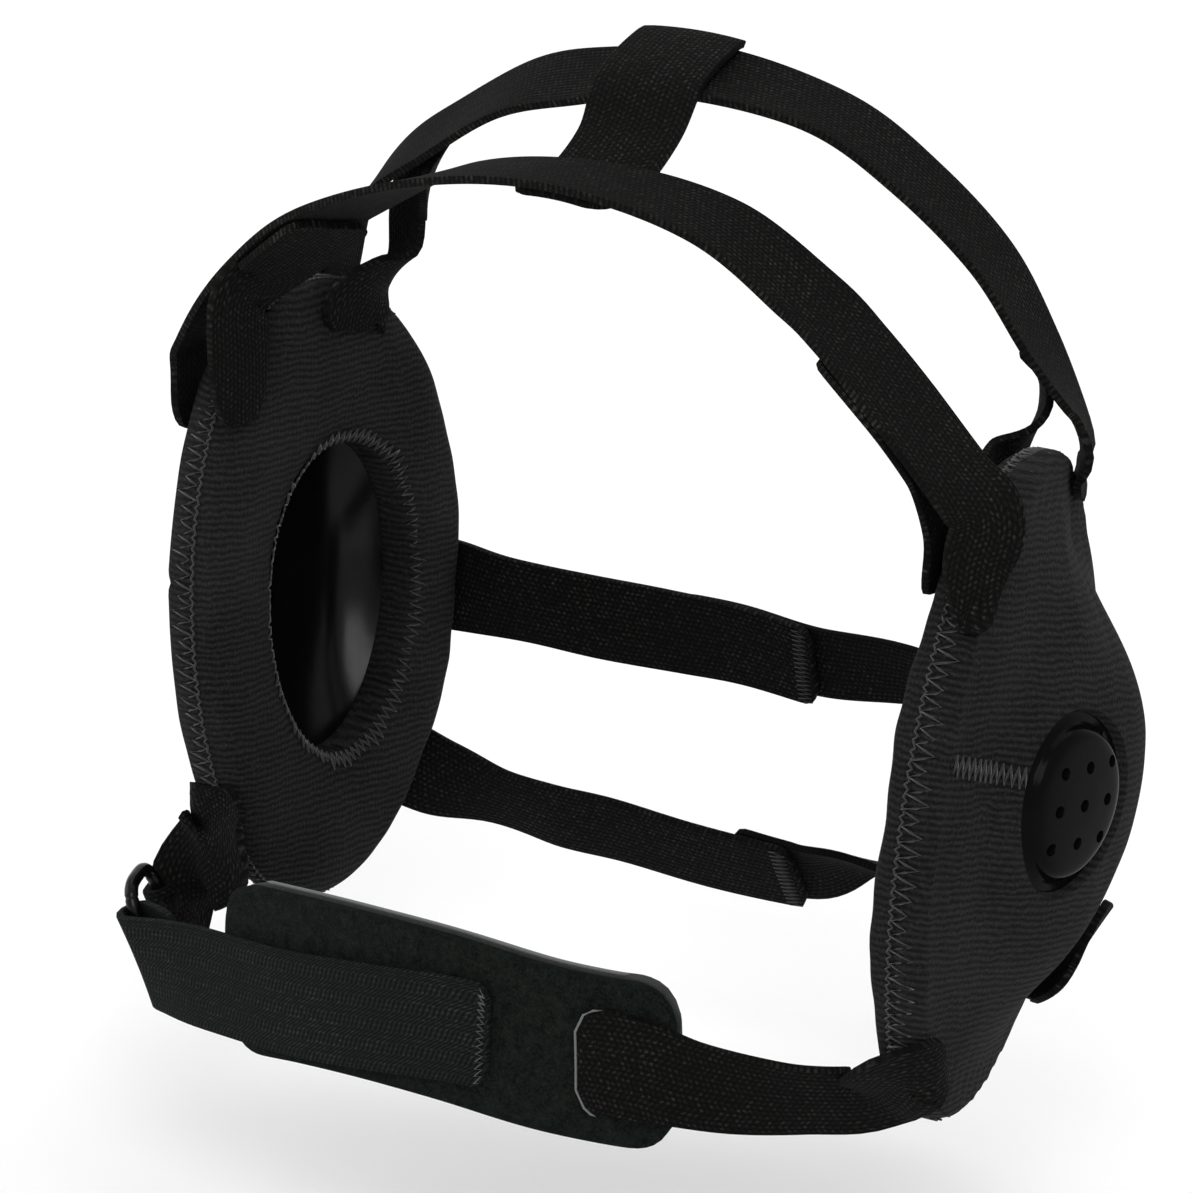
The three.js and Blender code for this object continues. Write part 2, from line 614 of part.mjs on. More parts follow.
// Tab from the ring to the middle of the chin piece's front
const chinTab = headStations([
  { across: 0.11, ahead: 0.995, up: -0.94, roll: 0 },
  { across: -0.01, ahead: 1.0, up: -0.942, roll: 0 },
  { across: -0.24, ahead: 0.985, up: -0.995, roll: 0 },
  { across: -0.52, ahead: 0.92, up: -1.07, roll: 0 },
  { across: -0.86, ahead: 0.79, up: -1.155, roll: 0 },
], chinCentre, chinScale);
const tabAlong = vec(-0.88, 0.44, -0.16).normalize();
const tabOut = ringLong.clone().cross(tabAlong).normalize();
chinTab.push(...foldRound(tabBar, tabAlong, tabOut, tabTail, 1));
addBand('chin_tab', chinTab, {
  width: chinTabWidth,
  material: chinCloth,
  step: foldStep,
  lift: plyGap,
  clear: ['chin_pad'],
});

// Strap from the left cup, with a rounded end on the chin piece's front
const chinLeft = headStations([
  { across: 0.37, ahead: 0.937, up: -0.96, roll: 0, wide: 0.5 },
  { across: 0.42, ahead: 0.92, up: -0.96, roll: 0 },
  { across: 0.513, ahead: 0.885, up: -0.978, roll: 0 },
  { across: 0.625, ahead: 0.829, up: -1.018, roll: 0 },
  { across: 0.743, ahead: 0.758, up: -1.045, roll: 12 },
  { across: 0.86, ahead: 0.676, up: -1.06, roll: 20 },
  { across: 0.987, ahead: 0.574, up: -1.05, roll: 20 },
], chinCentre, chinScale);
chinLeft.push(
  cupStation('left', 0.8, -0.8, 11, 45, -20),
  cupStation('left', 0.55, -0.76, 13, 15, -20, 0.8),
);
addBand('chin_strap_left', chinLeft, { width: chinStrapWidth, clear: ['chin_pad'] });

// Strap from the right cup, folded round the ring's upper corner
const strapBar = ringPoint(rad(50));
const strapAlong = vec(-0.83, 0.07, -0.56).normalize();
const strapOut = vec(-0.3, 0.67, 0.535).projectOnPlane(strapAlong).normalize();
addBand('chin_strap_right', [
  cupStation('right', 0.62, -0.64, -2.4, 0, 0, 0.7),
  cupStation('right', 0.75, -0.67, -2.6, 0, 0),
  cupStation('right', 1.0, -0.72, -2.6, 0, 0),
  ...foldRound(strapBar, strapAlong, strapOut, tabTail * 0.6, 0.45),
], { width: webWidth, step: foldStep });

// The origin is the middle of the bridge's underside
const seat = bridge[2].at.clone().add(vec(0, 0, -webWall / 2));
guard.children.forEach((piece) => piece.position.sub(seat));

export default guard;
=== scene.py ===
"""A youth wrestling ear guard: padded ear cups, webbing over and behind the head, and a padded chin piece."""

import math

import bmesh
import bpy
import numpy as np
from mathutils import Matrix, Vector


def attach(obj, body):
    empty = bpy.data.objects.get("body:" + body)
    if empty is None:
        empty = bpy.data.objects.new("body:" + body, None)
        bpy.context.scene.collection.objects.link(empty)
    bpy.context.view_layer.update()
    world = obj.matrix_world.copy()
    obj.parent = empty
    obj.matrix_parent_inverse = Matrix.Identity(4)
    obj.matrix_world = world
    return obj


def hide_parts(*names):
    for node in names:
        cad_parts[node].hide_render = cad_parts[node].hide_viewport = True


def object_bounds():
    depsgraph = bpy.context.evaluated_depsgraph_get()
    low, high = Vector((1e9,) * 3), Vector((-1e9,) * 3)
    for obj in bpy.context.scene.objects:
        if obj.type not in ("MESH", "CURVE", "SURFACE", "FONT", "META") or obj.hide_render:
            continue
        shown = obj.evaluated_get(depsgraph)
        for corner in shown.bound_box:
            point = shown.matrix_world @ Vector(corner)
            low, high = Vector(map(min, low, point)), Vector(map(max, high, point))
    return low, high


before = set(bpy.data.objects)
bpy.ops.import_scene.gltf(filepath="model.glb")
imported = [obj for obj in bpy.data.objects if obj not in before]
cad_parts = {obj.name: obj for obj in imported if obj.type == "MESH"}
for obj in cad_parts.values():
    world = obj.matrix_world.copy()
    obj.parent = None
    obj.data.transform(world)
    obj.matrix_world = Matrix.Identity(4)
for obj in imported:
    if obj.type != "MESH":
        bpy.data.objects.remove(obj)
cad_low, cad_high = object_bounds()

# Ear pads. Each is a ring of soft foam in a ribbed knit sleeve, swollen towards the head and rolled into the
# ear opening, where the knit is cut raw and overcast. It is sewn to the cup's cover along the outer edge.
# Places are worked out in millimetres from the middle of the head. SEAT is where the crown bridge rests on
# the head, and that is the object's origin.
MM = 0.001
SEAT = np.array([-2.28, 2.34, 104.2])
SPAN = 76.0
CUP_HIGH, CUP_FRONT, CUP_REAR, CUP_TAPER = 60.5, 34.0, 40.0, 0.07
EAR_WIDE, EAR_HIGH, EAR_BACK, EAR_DROP = 20.5, 30.5, 5.5, 2.0
KNIT_PITCH = 1.3
KNIT_DARK, KNIT_LIGHT = (0.0032, 0.0032, 0.0036), (0.0275, 0.0275, 0.0295)


def unit(v):
    """The same direction with a length of 1."""
    return v / np.linalg.norm(v)


def cup_frame(side, ahead, splay, pitch, lean):
    """A cup's centre and its three directions: towards the face, up, and away from the head."""
    s, p, l = np.radians([splay, pitch, lean])
    out = np.array([side, 0.0, 0.0])
    level = np.array([0.0, -math.cos(p), math.sin(p)])
    upright = np.array([0.0, math.sin(p), math.cos(p)])
    forward = level * math.cos(s) + out * math.sin(s)
    flat = out * math.cos(s) - level * math.sin(s)
    up = upright * math.cos(l) + flat * math.sin(l)
    away = flat * math.cos(l) - upright * math.sin(l)
    return np.array([side * SPAN, -ahead * SPAN, 0.0]) - SEAT, forward, up, away


CUPS = {"right": cup_frame(-1, -0.09, 5, 6, 3.5), "left": cup_frame(1, 0.1, 9, 17, 0)}


def on_cup(name, x, y, z):
    """Turns places in a cup's own frame (towards the face, up, away from the head) into places of the object.
    The left cup's upper rear corner is pulled in and flatter than the rest of its outline."""
    centre, forward, up, away = CUPS[name]
    if name == "left":
        pulled = np.clip((y - 12) / 34, 0, 1) ** 1.5 * np.clip(-x / 12, 0, 1)
        x, z = x * (1 - 0.17 * pulled), z * (1 - 0.2 * pulled)
    return centre + x[..., None] * forward + y[..., None] * up + z[..., None] * away


def smooth_rows(rows, count):
    """Catmull-Rom curve through rows of numbers, read off at count evenly spaced places."""
    rows = np.asarray(rows, float)
    padded = np.vstack([2 * rows[0] - rows[1], rows, 2 * rows[-1] - rows[-2]])
    t = np.linspace(0, len(rows) - 1, count)
    k = np.minimum(t.astype(int), len(rows) - 2)
    f = (t - k)[:, None]
    a, b, c, d = (padded[k + n] for n in range(4))
    return 0.5 * (2 * b + (c - a) * f + (2 * a - 5 * b + 4 * c - d) * f**2 + (3 * b - a - 3 * c + d) * f**3)


def surface(name, points, uv, around=(False, False)):
    """Mesh of quads over an array of points in millimetres, rows by columns, closed on itself where around
    says so. uv has one row or column more than points where the surface closes. A closed form faces out."""
    n, m = points.shape[:2]
    a, b = np.meshgrid(np.arange(n - (not around[0])), np.arange(m - (not around[1])), indexing="ij")
    c, d = (a + 1) % n, (b + 1) % m
    quads = np.stack([a * m + b, c * m + b, c * m + d, a * m + d], -1).reshape(-1, 4)
    corners = np.stack([uv[a, b], uv[a + 1, b], uv[a + 1, b + 1], uv[a, b + 1]], -2).reshape(-1, 4, 2)
    flat = points.reshape(-1, 3) * MM
    p = [flat[quads[:, i]] - flat.mean(0) for i in range(3)]
    if np.einsum("ij,ij->i", p[0], np.cross(p[1], p[2])).sum() < 0:
        quads, corners = quads[:, ::-1], corners[:, ::-1]
    mesh = bpy.data.meshes.new(name)
    mesh.from_pydata(flat.tolist(), [], quads.tolist())
    mesh.uv_layers.new(name="UVMap").data.foreach_set("uv", np.ascontiguousarray(corners).ravel())
    mesh.shade_smooth()
    piece = bpy.data.objects.new(name, mesh)
    bpy.context.scene.collection.objects.link(piece)
    return piece


def ripple(points, wave, seed, count=9):
    """Soft random field over places in millimetres, about -1 to 1: sine waves in random directions, added."""
    rng = np.random.default_rng(seed)
    field = np.zeros(points.shape[:-1])
    for _ in range(count):
        way = unit(rng.normal(size=3)) * 2 * math.pi / (wave * rng.uniform(0.7, 1.5))
        field += np.sin(points @ way + rng.uniform(0, 7))
    return field / math.sqrt(count)


class Wire:
    """A shader socket that takes part in sums like a number, and the node tree that it is in."""

    def __init__(self, tree, socket):
        self.tree, self.socket = tree, socket

    def math(self, operation, *others, clamp=False):
        """One sum over this socket and others, each a socket or a number."""
        node = self.tree.nodes.new("ShaderNodeMath")
        node.operation, node.use_clamp = operation, clamp
        for i, value in enumerate([self, *others]):
            if isinstance(value, Wire):
                self.tree.links.new(value.socket, node.inputs[i])
            else:
                node.inputs[i].default_value = value
        return Wire(self.tree, node.outputs[0])

    def __add__(self, other):
        return self.math("ADD", other)

    def __sub__(self, other):
        return self.math("SUBTRACT", other)

    def __mul__(self, other):
        return self.math("MULTIPLY", other)

    def __rsub__(self, other):
        return (self * -1.0).math("ADD", other)

    __radd__, __rmul__ = __add__, __mul__

    def sin(self):
        return self.math("SINE")

    def between(self, low, high):
        """0 below low, 1 above high, and a straight slope from one to the other."""
        return ((self - low) * (1 / (high - low))).math("ADD", 0.0, clamp=True)


class Finish:
    """A material under construction: its node tree, its surface shader and one method for any other node."""

    def __init__(self, name):
        self.material = bpy.data.materials.new(name)
        self.material.use_nodes = True
        self.tree = self.material.node_tree
        self.shader = self.tree.nodes["Principled BSDF"]

    def node(self, kind, output=0, inputs=None, **settings):
        """Any other node: its settings first, then the values or links of its sockets. Gives one output."""
        made = self.tree.nodes.new("ShaderNode" + kind)
        for key, value in settings.items():
            setattr(made, key, value)
        for key, value in (inputs or {}).items():
            self.feed(made.inputs[key], value)
        return Wire(self.tree, made.outputs[output])

    def feed(self, socket, value):
        """Links a socket to another, or sets its value."""
        if isinstance(value, Wire):
            self.tree.links.new(value.socket, socket)
        else:
            socket.default_value = value

    def coordinate(self, kind):
        """Places on the piece, or its own UV map."""
        return self.node("TexCoord", kind)

    def split(self, vector):
        """A vector's three parts."""
        first = self.node("SeparateXYZ", inputs={0: vector})
        return [Wire(self.tree, output) for output in first.socket.node.outputs]

    def noise(self, vector, scale, detail=2.0, rough=0.5):
        """Cloudy noise of about 0 to 1, its scale in waves to the metre."""
        inputs = {"Vector": vector, "Scale": scale, "Detail": detail, "Roughness": rough}
        return self.node("TexNoise", inputs=inputs)

    def mix(self, factor, first, second):
        """From one colour to another, by a factor of 0 to 1."""
        inputs = {0: factor, 6: (*first, 1.0), 7: (*second, 1.0)}
        return self.node("Mix", 2, inputs, data_type="RGBA")

    def bump(self, height, distance, strength=1.0):
        """The surface's direction, tilted by a height of 0 to 1 over a distance in metres."""
        inputs = {"Height": height, "Distance": distance, "Strength": strength}
        return self.node("Bump", inputs=inputs)

    def surface(self, **values):
        """Feeds the surface shader's sockets by name, and gives the material."""
        for key, value in values.items():
            self.feed(self.shader.inputs[key.replace("_", " ")], value)
        return self.material


def knit_finish(name):
    """Ribbed knit: wavering ribs of loops, one above the other, flecked with paler fibres."""
    f = Finish(name)
    place = f.coordinate("Object")
    u, v, _ = f.split(f.coordinate("UV"))
    drift = f.noise(place, 110.0, 4.0, 0.6) - 0.5
    waver = ((u * 1000 + drift * 14.0) * (2 * math.pi / 4.1)).sin() * 0.07
    rib = (v * (1000 / KNIT_PITCH) + drift * 1.9 + waver) * (2 * math.pi)
    loop = (u * 1000 + f.noise(place, 500.0) * 1.6) * (2 * math.pi / 1.05)
    ridge = rib.sin() * 0.5 + 0.5
    knots = (loop + rib.sin() * 1.2).sin() * 0.5 + 0.5
    fleck = f.noise(place, 1700.0, 3.0, 0.7).between(0.5, 0.7)
    cloud = f.noise(place, 40.0, 3.0).between(0.35, 0.75)
    shade = ridge * 0.3 + knots * ridge * 0.16 + fleck * 0.4 + cloud * 0.2 - 0.06
    colour = f.mix(shade.math("ADD", 0.0, clamp=True), KNIT_DARK, KNIT_LIGHT)
    height = ridge * 0.8 + knots * 0.15 + f.noise(place, 2500.0) * 0.3
    normal = f.bump(height, 0.00035, 0.9)
    return f.surface(Base_Color=colour, Roughness=0.95, Normal=normal, Specular_IOR_Level=0.12)


knit = knit_finish("knit")

# The pad's section, from the outer seam over the face and round into the ear opening: inward is the share of
# the way from the outer edge to the ear opening, depth is away from the head in millimetres.
PAD_SECTION = [
    (0.02, 8.6), (-0.012, 6.5), (-0.012, 3.4), (0.02, 1.0), (0.09, -0.7), (0.24, -1.9), (0.5, -2.3),
    (0.76, -1.7), (0.92, -0.3), (0.985, 1.6), (1.0, 4.0), (0.99, 7.6), (0.9, 8.1), (0.5, 7.9), (0.12, 7.9),
    (0.02, 8.6),
]


def cup_outline(angle, front, rear, high, ahead=0.0, drop=0.0):
    """Oval with a flatter front half, a little wider at the top than at the bottom."""
    reach = np.where(np.cos(angle) > 0, front, rear)
    x = reach * np.cos(angle) * (1 + CUP_TAPER * np.sin(angle)) + ahead
    return x, high * np.sin(angle) - drop


def ear_pad(name):
    """The section carried round the ear opening: each point lies between the cup's outline and the opening's,
    ripples a little, and is gathered at the opening's raw edge."""
    angle = np.linspace(0, 2 * math.pi, 260, endpoint=False)[:, None]
    section = smooth_rows(PAD_SECTION, 64)[:-1]
    inward, depth = section[:, 0][None, :], section[:, 1][None, :]
    outer = cup_outline(angle, CUP_FRONT, CUP_REAR, CUP_HIGH)
    inner = cup_outline(angle, EAR_WIDE, EAR_WIDE, EAR_HIGH, -EAR_BACK, EAR_DROP)
    x = outer[0] + (inner[0] - outer[0]) * inward
    y = outer[1] + (inner[1] - outer[1]) * inward
    local = np.stack([x, y, depth + 0 * x], -1)
    face = np.clip(1.6 - np.abs(depth + 2) / 2, 0, 1)
    z = depth - face * (0.35 * ripple(local, 26, 4) + 0.15 * ripple(local, 9, 5))
    pull = np.exp(-(((inward - 0.99) / 0.05) ** 2)) * (depth < 5)
    x = x + pull * 0.35 * np.sin(angle * 58)
    y = y + pull * 0.3 * np.cos(angle * 47)
    points = on_cup(name, x, y, z)
    uv = np.stack([x + 0.7 * z, y + 0.02 * x], -1) * MM
    uv = np.concatenate([uv, uv[:1]])
    uv = np.concatenate([uv, uv[:, :1]], 1)
    return surface("pad_" + name, points, uv, (True, True))


for side in CUPS:
    pad = ear_pad(side)
    pad.data.materials.append(knit)
    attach(pad, "root")
    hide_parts("ear_pad_" + side)

# Cup shells. Each is a moulded dome of hard black plastic with a raised oval boss and nine small vents, seen
# satin black through the ear opening and through the window of the knitted cover.
SHELL_WALL, SHELL_TUCK = 2.0, 1.75
RISE, BASE = 12.5, 8.35
SHELL_RINGS = [
    (1.0, 1.0, 0.0, 0.0, 0), (0.98, 0.97, 0.0, 0.03, 0), (0.92, 0.85, -0.02, 0.08, 1),
    (0.82, 0.71, -0.08, 0.27, 1.5), (0.7, 0.57, -0.12, 0.6, 10), (0.56, 0.44, -0.08, 0.86, 13),
    (0.4, 0.275, 0.02, 0.93, 15),
]
BOSS_RINGS = [
    (0.37, 0.255, 0.02, 0.94, 15), (0.352, 0.24, 0.02, 1.0, 15), (0.34, 0.23, 0.02, 1.1, 15),
    (0.31, 0.21, 0.02, 1.165, 15), (0.24, 0.16, 0.02, 1.2, 15), (0.12, 0.08, 0.02, 1.225, 15),
]
VENT_WIDE, VENT_PITCH, VENT_BACK, VENT_SLOPE = 2.3, 6.9, 0.5, 1.2


def eased(rings, count):
    """The rings read off at count places, each place then averaged with its neighbours over and over."""
    rows = smooth_rows(rings, count)
    for _ in range(int(count * 0.8)):
        rows[1:-1] = (rows[:-2] + 2 * rows[1:-1] + rows[2:]) / 4
    return rows


def dome(rings, angle, inset, lift):
    """Rings of the dome. Each is an oval in shares of the cup's outline, moved ahead, raised by its share of
    the dome's rise and tilted by degrees."""
    wide, high, ahead, rise, tilt = (column[:, None] for column in np.asarray(rings, float).T)
    front, rear = ((edge - SHELL_TUCK) * wide - inset for edge in (CUP_FRONT, CUP_REAR))
    x, y = cup_outline(angle[None, :], front, rear, (CUP_HIGH - SHELL_TUCK) * high - inset)
    z = BASE + RISE * rise + lift - x * np.tan(np.radians(tilt))
    return x + CUP_FRONT * ahead, y, z


def tidy_mesh(mesh):
    """Merges corners that lie on each other and turns every closed form's faces outward."""
    work = bmesh.new()
    work.from_mesh(mesh)
    bmesh.ops.remove_doubles(work, verts=work.verts, dist=0.00002)
    bmesh.ops.recalc_face_normals(work, faces=work.faces)
    work.to_mesh(mesh)
    work.free()


def shell(name):
    """The dome's rings outside, the same rings a wall's thickness inside, and a flange that joins them."""
    angle = np.linspace(0, 2 * math.pi, 160, endpoint=False)
    rows = np.vstack([eased(SHELL_RINGS, 40), smooth_rows(BOSS_RINGS, 22)])
    outer = dome(rows, angle, 0, 0)
    inner = dome(eased(SHELL_RINGS, 40)[18:], angle, SHELL_WALL, -SHELL_WALL)
    low = dome(SHELL_RINGS[:1], angle, SHELL_WALL, 0)
    middle, top = ([np.full((1, len(angle)), c[-1].mean()) for c in rings] for rings in (inner, outer))
    x, y, z = (np.vstack([middle[i], inner[i][::-1], low[i], outer[i], top[i]]) for i in range(3))
    uv = np.concatenate([np.stack([x, y], -1), np.stack([x, y], -1)[:, :1]], 1) * MM
    made = surface("shell_" + name, on_cup(name, x, y, z), uv, (False, True))
    made.data.materials.append(plastic)
    made.data.materials.append(boss_plastic)
    outside = np.arange(len(made.data.polygons)) // len(angle) > len(inner[0])
    made.data.polygons.foreach_set("material_index", outside.astype(np.int32))
    tidy_mesh(made.data)
    return made


def vent_drills(name):
    """Nine short rods along the boss's own direction, to be cut out of the shell."""
    sides = 24
    turn = np.linspace(0, 2 * math.pi, sides, endpoint=False)
    rods = []
    for row in (-1, 0, 1):
        for column in (-1, 0, 1):
            x, y = column * VENT_PITCH - VENT_BACK, row * VENT_PITCH - column * VENT_SLOPE
            ring_x, ring_y = x + VENT_WIDE / 2 * np.cos(turn), y + VENT_WIDE / 2 * np.sin(turn)
            ends = [on_cup(name, ring_x, ring_y, np.full(sides, z)) for z in (BASE + 3, BASE + 22)]
            rods.append(np.vstack(ends) * MM)
    mesh = bpy.data.meshes.new("drill")
    faces = []
    for n in range(len(rods)):
        low = [n * 2 * sides + i for i in range(sides)]
        high = [i + sides for i in low]
        faces += [[low[i - 1], low[i], high[i], high[i - 1]] for i in range(sides)] + [low[::-1], high]
    mesh.from_pydata(np.vstack(rods).tolist(), [], faces)
    drill = bpy.data.objects.new("drill_" + name, mesh)
    bpy.context.scene.collection.objects.link(drill)
    tidy_mesh(mesh)
    return drill


def apply_all(piece):
    """Works out a piece's modifiers into its mesh."""
    graph = bpy.context.evaluated_depsgraph_get()
    shown = piece.evaluated_get(graph)
    made = bpy.data.meshes.new_from_object(shown, preserve_all_data_layers=True, depsgraph=graph)
    piece.modifiers.clear()
    piece.data = made


def plastic_finish(name, rough, sheen):
    """Black moulding: faint orange-peel, and scuffs that dull it a little."""
    f = Finish(name)
    place = f.coordinate("Object")
    scuff = f.noise(place, 90.0, 4.0, 0.7).between(0.45, 0.8)
    peel = f.bump(f.noise(place, 700.0, 2.0), 0.0001, 0.15)
    return f.surface(Base_Color=(0.0025, 0.0025, 0.0027, 1), Roughness=scuff * 0.1 + rough, Normal=peel,
                     Specular_IOR_Level=sheen)


plastic = plastic_finish("plastic", 0.2, 0.15)
boss_plastic = plastic_finish("boss_plastic", 0.16, 0.03)
for side in CUPS:
    made, drill = shell(side), vent_drills(side)
    cut = made.modifiers.new("vents", "BOOLEAN")
    cut.object, cut.operation, cut.solver = drill, "DIFFERENCE", "EXACT"
    apply_all(made)
    bpy.data.objects.remove(drill)
    made.data.set_sharp_from_angle(angle=math.radians(35))
    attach(made, "root")
    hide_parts("ear_shell_" + side)

# Cup covers. A ribbed knit is stretched over each dome, open round the boss with a turned hem, and seamed to
# the pad along the cup's edge. A dart runs from the front edge to the boss, puckered by its stitches.
COVER_WALL, COVER_GAP, COVER_FOOT, COVER_HIP = 1.0, 0.35, 3.0, 9.2
DART_LOW, DART_REAR, DART_SLOPE = 4.2, 12.0, 0.1


def cover_pucker(x, y, z, seed):
    """How far the knit stands up or sinks: soft drape, plus a drawn-in dart with puckers, plus tucks at the
    top and the bottom."""
    local = np.stack([x, y, z], -1)
    height = 0.22 * ripple(local, 34, seed) + 0.06 * ripple(local, 9, seed + 1)
    along = np.clip((x - DART_REAR) / 3, 0, 1) * (z > 4)
    line = y - DART_LOW - DART_SLOPE * (x - DART_REAR)
    groove = np.exp(-((line / 1.2) ** 2)) * along
    pucker = np.exp(-((line / 3.2) ** 2)) * along * np.sin(x * 3.0 + 0.6 * np.sin(x))
    ends = np.exp(-(((np.abs(y) - 53) / 5) ** 2)) * (z > 8.5)
    tucks = ends * np.sin(x * 1.9 + 0.04 * y * y / 10) * 0.07
    return height - groove * 0.5 + pucker * 0.22 + tucks


def ear_cover(name, seed):
    """The dome's rings again, one layer just clear of the shell and one a wall's thickness above it, with the
    side wall below and a turned hem round the boss. The outer layer drapes and puckers."""
    angle = np.linspace(0, 2 * math.pi, 300, endpoint=False)
    rows = eased(SHELL_RINGS, 84)
    x, y, z = dome(rows, angle, -COVER_GAP, COVER_GAP)
    skin = dome(rows, angle, -COVER_GAP - COVER_WALL, COVER_GAP + COVER_WALL)
    side_x, side_y = cup_outline(angle[None, :], CUP_FRONT - 0.1, CUP_REAR - 0.1, CUP_HIGH - 0.1)
    depth = np.linspace(COVER_FOOT, COVER_HIP, 12)[:, None]
    belly = 0.9 * np.sin((depth - COVER_FOOT) / (COVER_HIP - COVER_FOOT) * math.pi)
    wall = [side_x * (1 + belly / 38), side_y * (1 + belly / 62), depth + 0 * side_x]
    ox, oy, oz = (np.vstack([wall[i], skin[i][1:]]) for i in range(3))
    hem = np.linspace(0, 1, 7)[:, None]
    swell = np.sin(hem * math.pi)
    hx = ox[-1] * (1 - 0.075 * hem) + ox[-1] * 0.02 * swell
    hy = oy[-1] * (1 - 0.06 * hem) + oy[-1] * 0.02 * swell
    hz = oz[-1] + 0.9 * swell - 1.6 * hem
    ox, oy, oz = np.vstack([ox, hx[1:]]), np.vstack([oy, hy[1:]]), np.vstack([oz, hz[1:]])
    lift = cover_pucker(ox, oy, oz, seed)
    lift[-6:] *= 0.3
    lift[:2] *= 0.2
    oz = oz + np.where(oz > 9.5, lift, 0)
    grow = np.where(oz <= 9.5, lift, lift * 0.2) / 40
    ox, oy = ox * (1 + grow), oy * (1 + grow)
    inner = [x[::-1], y[::-1], z[::-1]]
    low = [side_x * 0.985, side_y * 0.99, COVER_FOOT + 0 * side_x]
    px, py, pz = (np.vstack([o, i, w]) for o, i, w in zip((ox, oy, oz), inner, low))
    uv = np.stack([px + 0.7 * pz, py + 0.05 * px], -1) * MM
    uv = np.concatenate([uv, uv[:1]])
    uv = np.concatenate([uv, uv[:, :1]], 1)
    return surface("cover_" + name, on_cup(name, px, py, pz), uv, (True, True))


for seed, side in enumerate(CUPS):
    cover = ear_cover(side, 20 + 7 * seed)
    cover.data.materials.append(knit)
    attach(cover, "root")
    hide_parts("ear_cover_" + side)

# Stitching round the cups. An overcast seam zigzags round the side of each cup, and a second row whips over
# the raw edge of the ear opening. The thread is charcoal, of about the knit's own shade.
THREAD = 0.42


def thread(name, path, colour, radius=THREAD / 2, closed=False):
    """A thread laid along places in millimetres: a small round tube, six faces round, drawn to a point at its
    ends unless it is closed."""
    step = np.roll(path, -1, 0) - np.roll(path, 1, 0)
    if not closed:
        step[0], step[-1] = path[1] - path[0], path[-1] - path[-2]
    step /= np.linalg.norm(step, axis=1)[:, None]
    helper = np.where(np.abs(step[:, 2:3]) > 0.8, [[1.0, 0, 0]], [[0, 0, 1.0]])
    side = np.cross(step, helper)
    side /= np.linalg.norm(side, axis=1)[:, None]
    lift = np.cross(step, side)
    turn = np.linspace(0, 2 * math.pi, 6, endpoint=False)
    ring = side[:, None] * np.cos(turn)[None, :, None] + lift[:, None] * np.sin(turn)[None, :, None]
    girth = np.full((len(path), 1, 1), radius)
    if not closed:
        girth[[0, -1]] = 0
    uv = np.zeros((len(path) + closed, 7, 2))
    made = surface(name, path[:, None] + girth * ring, uv, (closed, True))
    tidy_mesh(made.data)
    made.data.materials.append(colour)
    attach(made, "root")
    return made


def thread_finish(name, colour):
    """Twisted yarn: its colour, darker here and there by the twist."""
    f = Finish(name)
    twist = f.noise(f.coordinate("Object"), 2200.0, 2.0)
    shade = f.mix(twist, [c * 0.6 for c in colour], colour)
    return f.surface(Base_Color=shade, Roughness=0.75, Sheen_Weight=0.2)


cup_thread = thread_finish("cup_thread", (0.0095, 0.0095, 0.0105))
RIM_STITCHES, EAR_STITCHES, DART_STITCHES = 130, 84, 12
ZIGZAG = np.array([-1.0, 0.0, 1.0, 0.0])
for side in CUPS:
    rng = np.random.default_rng(31)
    turns = np.linspace(0, 2 * math.pi, RIM_STITCHES * 4, endpoint=False)
    phase = np.tile(ZIGZAG / 2 + 0.5, RIM_STITCHES) * np.repeat(rng.uniform(0.75, 1.1, RIM_STITCHES), 4)
    phase = phase + 0.06 * rng.normal(size=len(turns))
    rim_x, rim_y = cup_outline(turns, CUP_FRONT + 0.7, CUP_REAR + 0.7, CUP_HIGH + 0.6)
    thread("rim_stitch_" + side, on_cup(side, rim_x, rim_y, 3.2 + 4.2 * phase), cup_thread, closed=True)
    edge_x, edge_y = cup_outline(turns, CUP_FRONT + 0.45, CUP_REAR + 0.45, CUP_HIGH + 0.35)
    chain = 3.0 + 0.45 * np.sin(turns * RIM_STITCHES * 1.5)
    thread("rim_chain_" + side, on_cup(side, edge_x, edge_y, chain), cup_thread, closed=True)
    turns = np.linspace(0, 2 * math.pi, EAR_STITCHES * 4, endpoint=False)
    reach = np.tile([0.2, 1.3, 2.6, 1.3], EAR_STITCHES) * np.repeat(rng.uniform(0.7, 1.25, EAR_STITCHES), 4)
    ear_reach = EAR_WIDE + reach
    ear_x, ear_y = cup_outline(turns, ear_reach, ear_reach, EAR_HIGH + reach, -EAR_BACK, EAR_DROP)
    rise = np.interp(reach, [0, 0.8, 1.6, 2.8], [0.9, 0.1, -0.6, -1.3])
    thread("ear_stitch_" + side, on_cup(side, ear_x, ear_y, rise - 0.1), cup_thread, closed=True)

# Stitching of the darts. It closes the fold in each cover, from the side wall up the dome's front towards the
# boss. The run is measured along the rings' front points, and the zigzag swings above and below its line.
DART_MARGIN, DART_SWING = 2.5, 1.9
skin_gap = COVER_GAP + COVER_WALL
dart_rows = eased(SHELL_RINGS, 200)
dart_front = (CUP_FRONT - SHELL_TUCK) * dart_rows[:, 0] + CUP_FRONT * dart_rows[:, 2] + skin_gap
dart_rise = BASE + RISE * dart_rows[:, 3] - (dart_front - skin_gap) * np.tan(np.radians(dart_rows[:, 4]))
dart_front = np.concatenate([[CUP_FRONT - 0.1], dart_front])
dart_rise = np.concatenate([[10.6], dart_rise + skin_gap + 0.15])
dart_run = np.concatenate([[0], np.hypot(np.diff(dart_front), np.diff(dart_rise)).cumsum()])
dart_end = np.interp(DART_MARGIN - DART_REAR, -dart_front, dart_run)
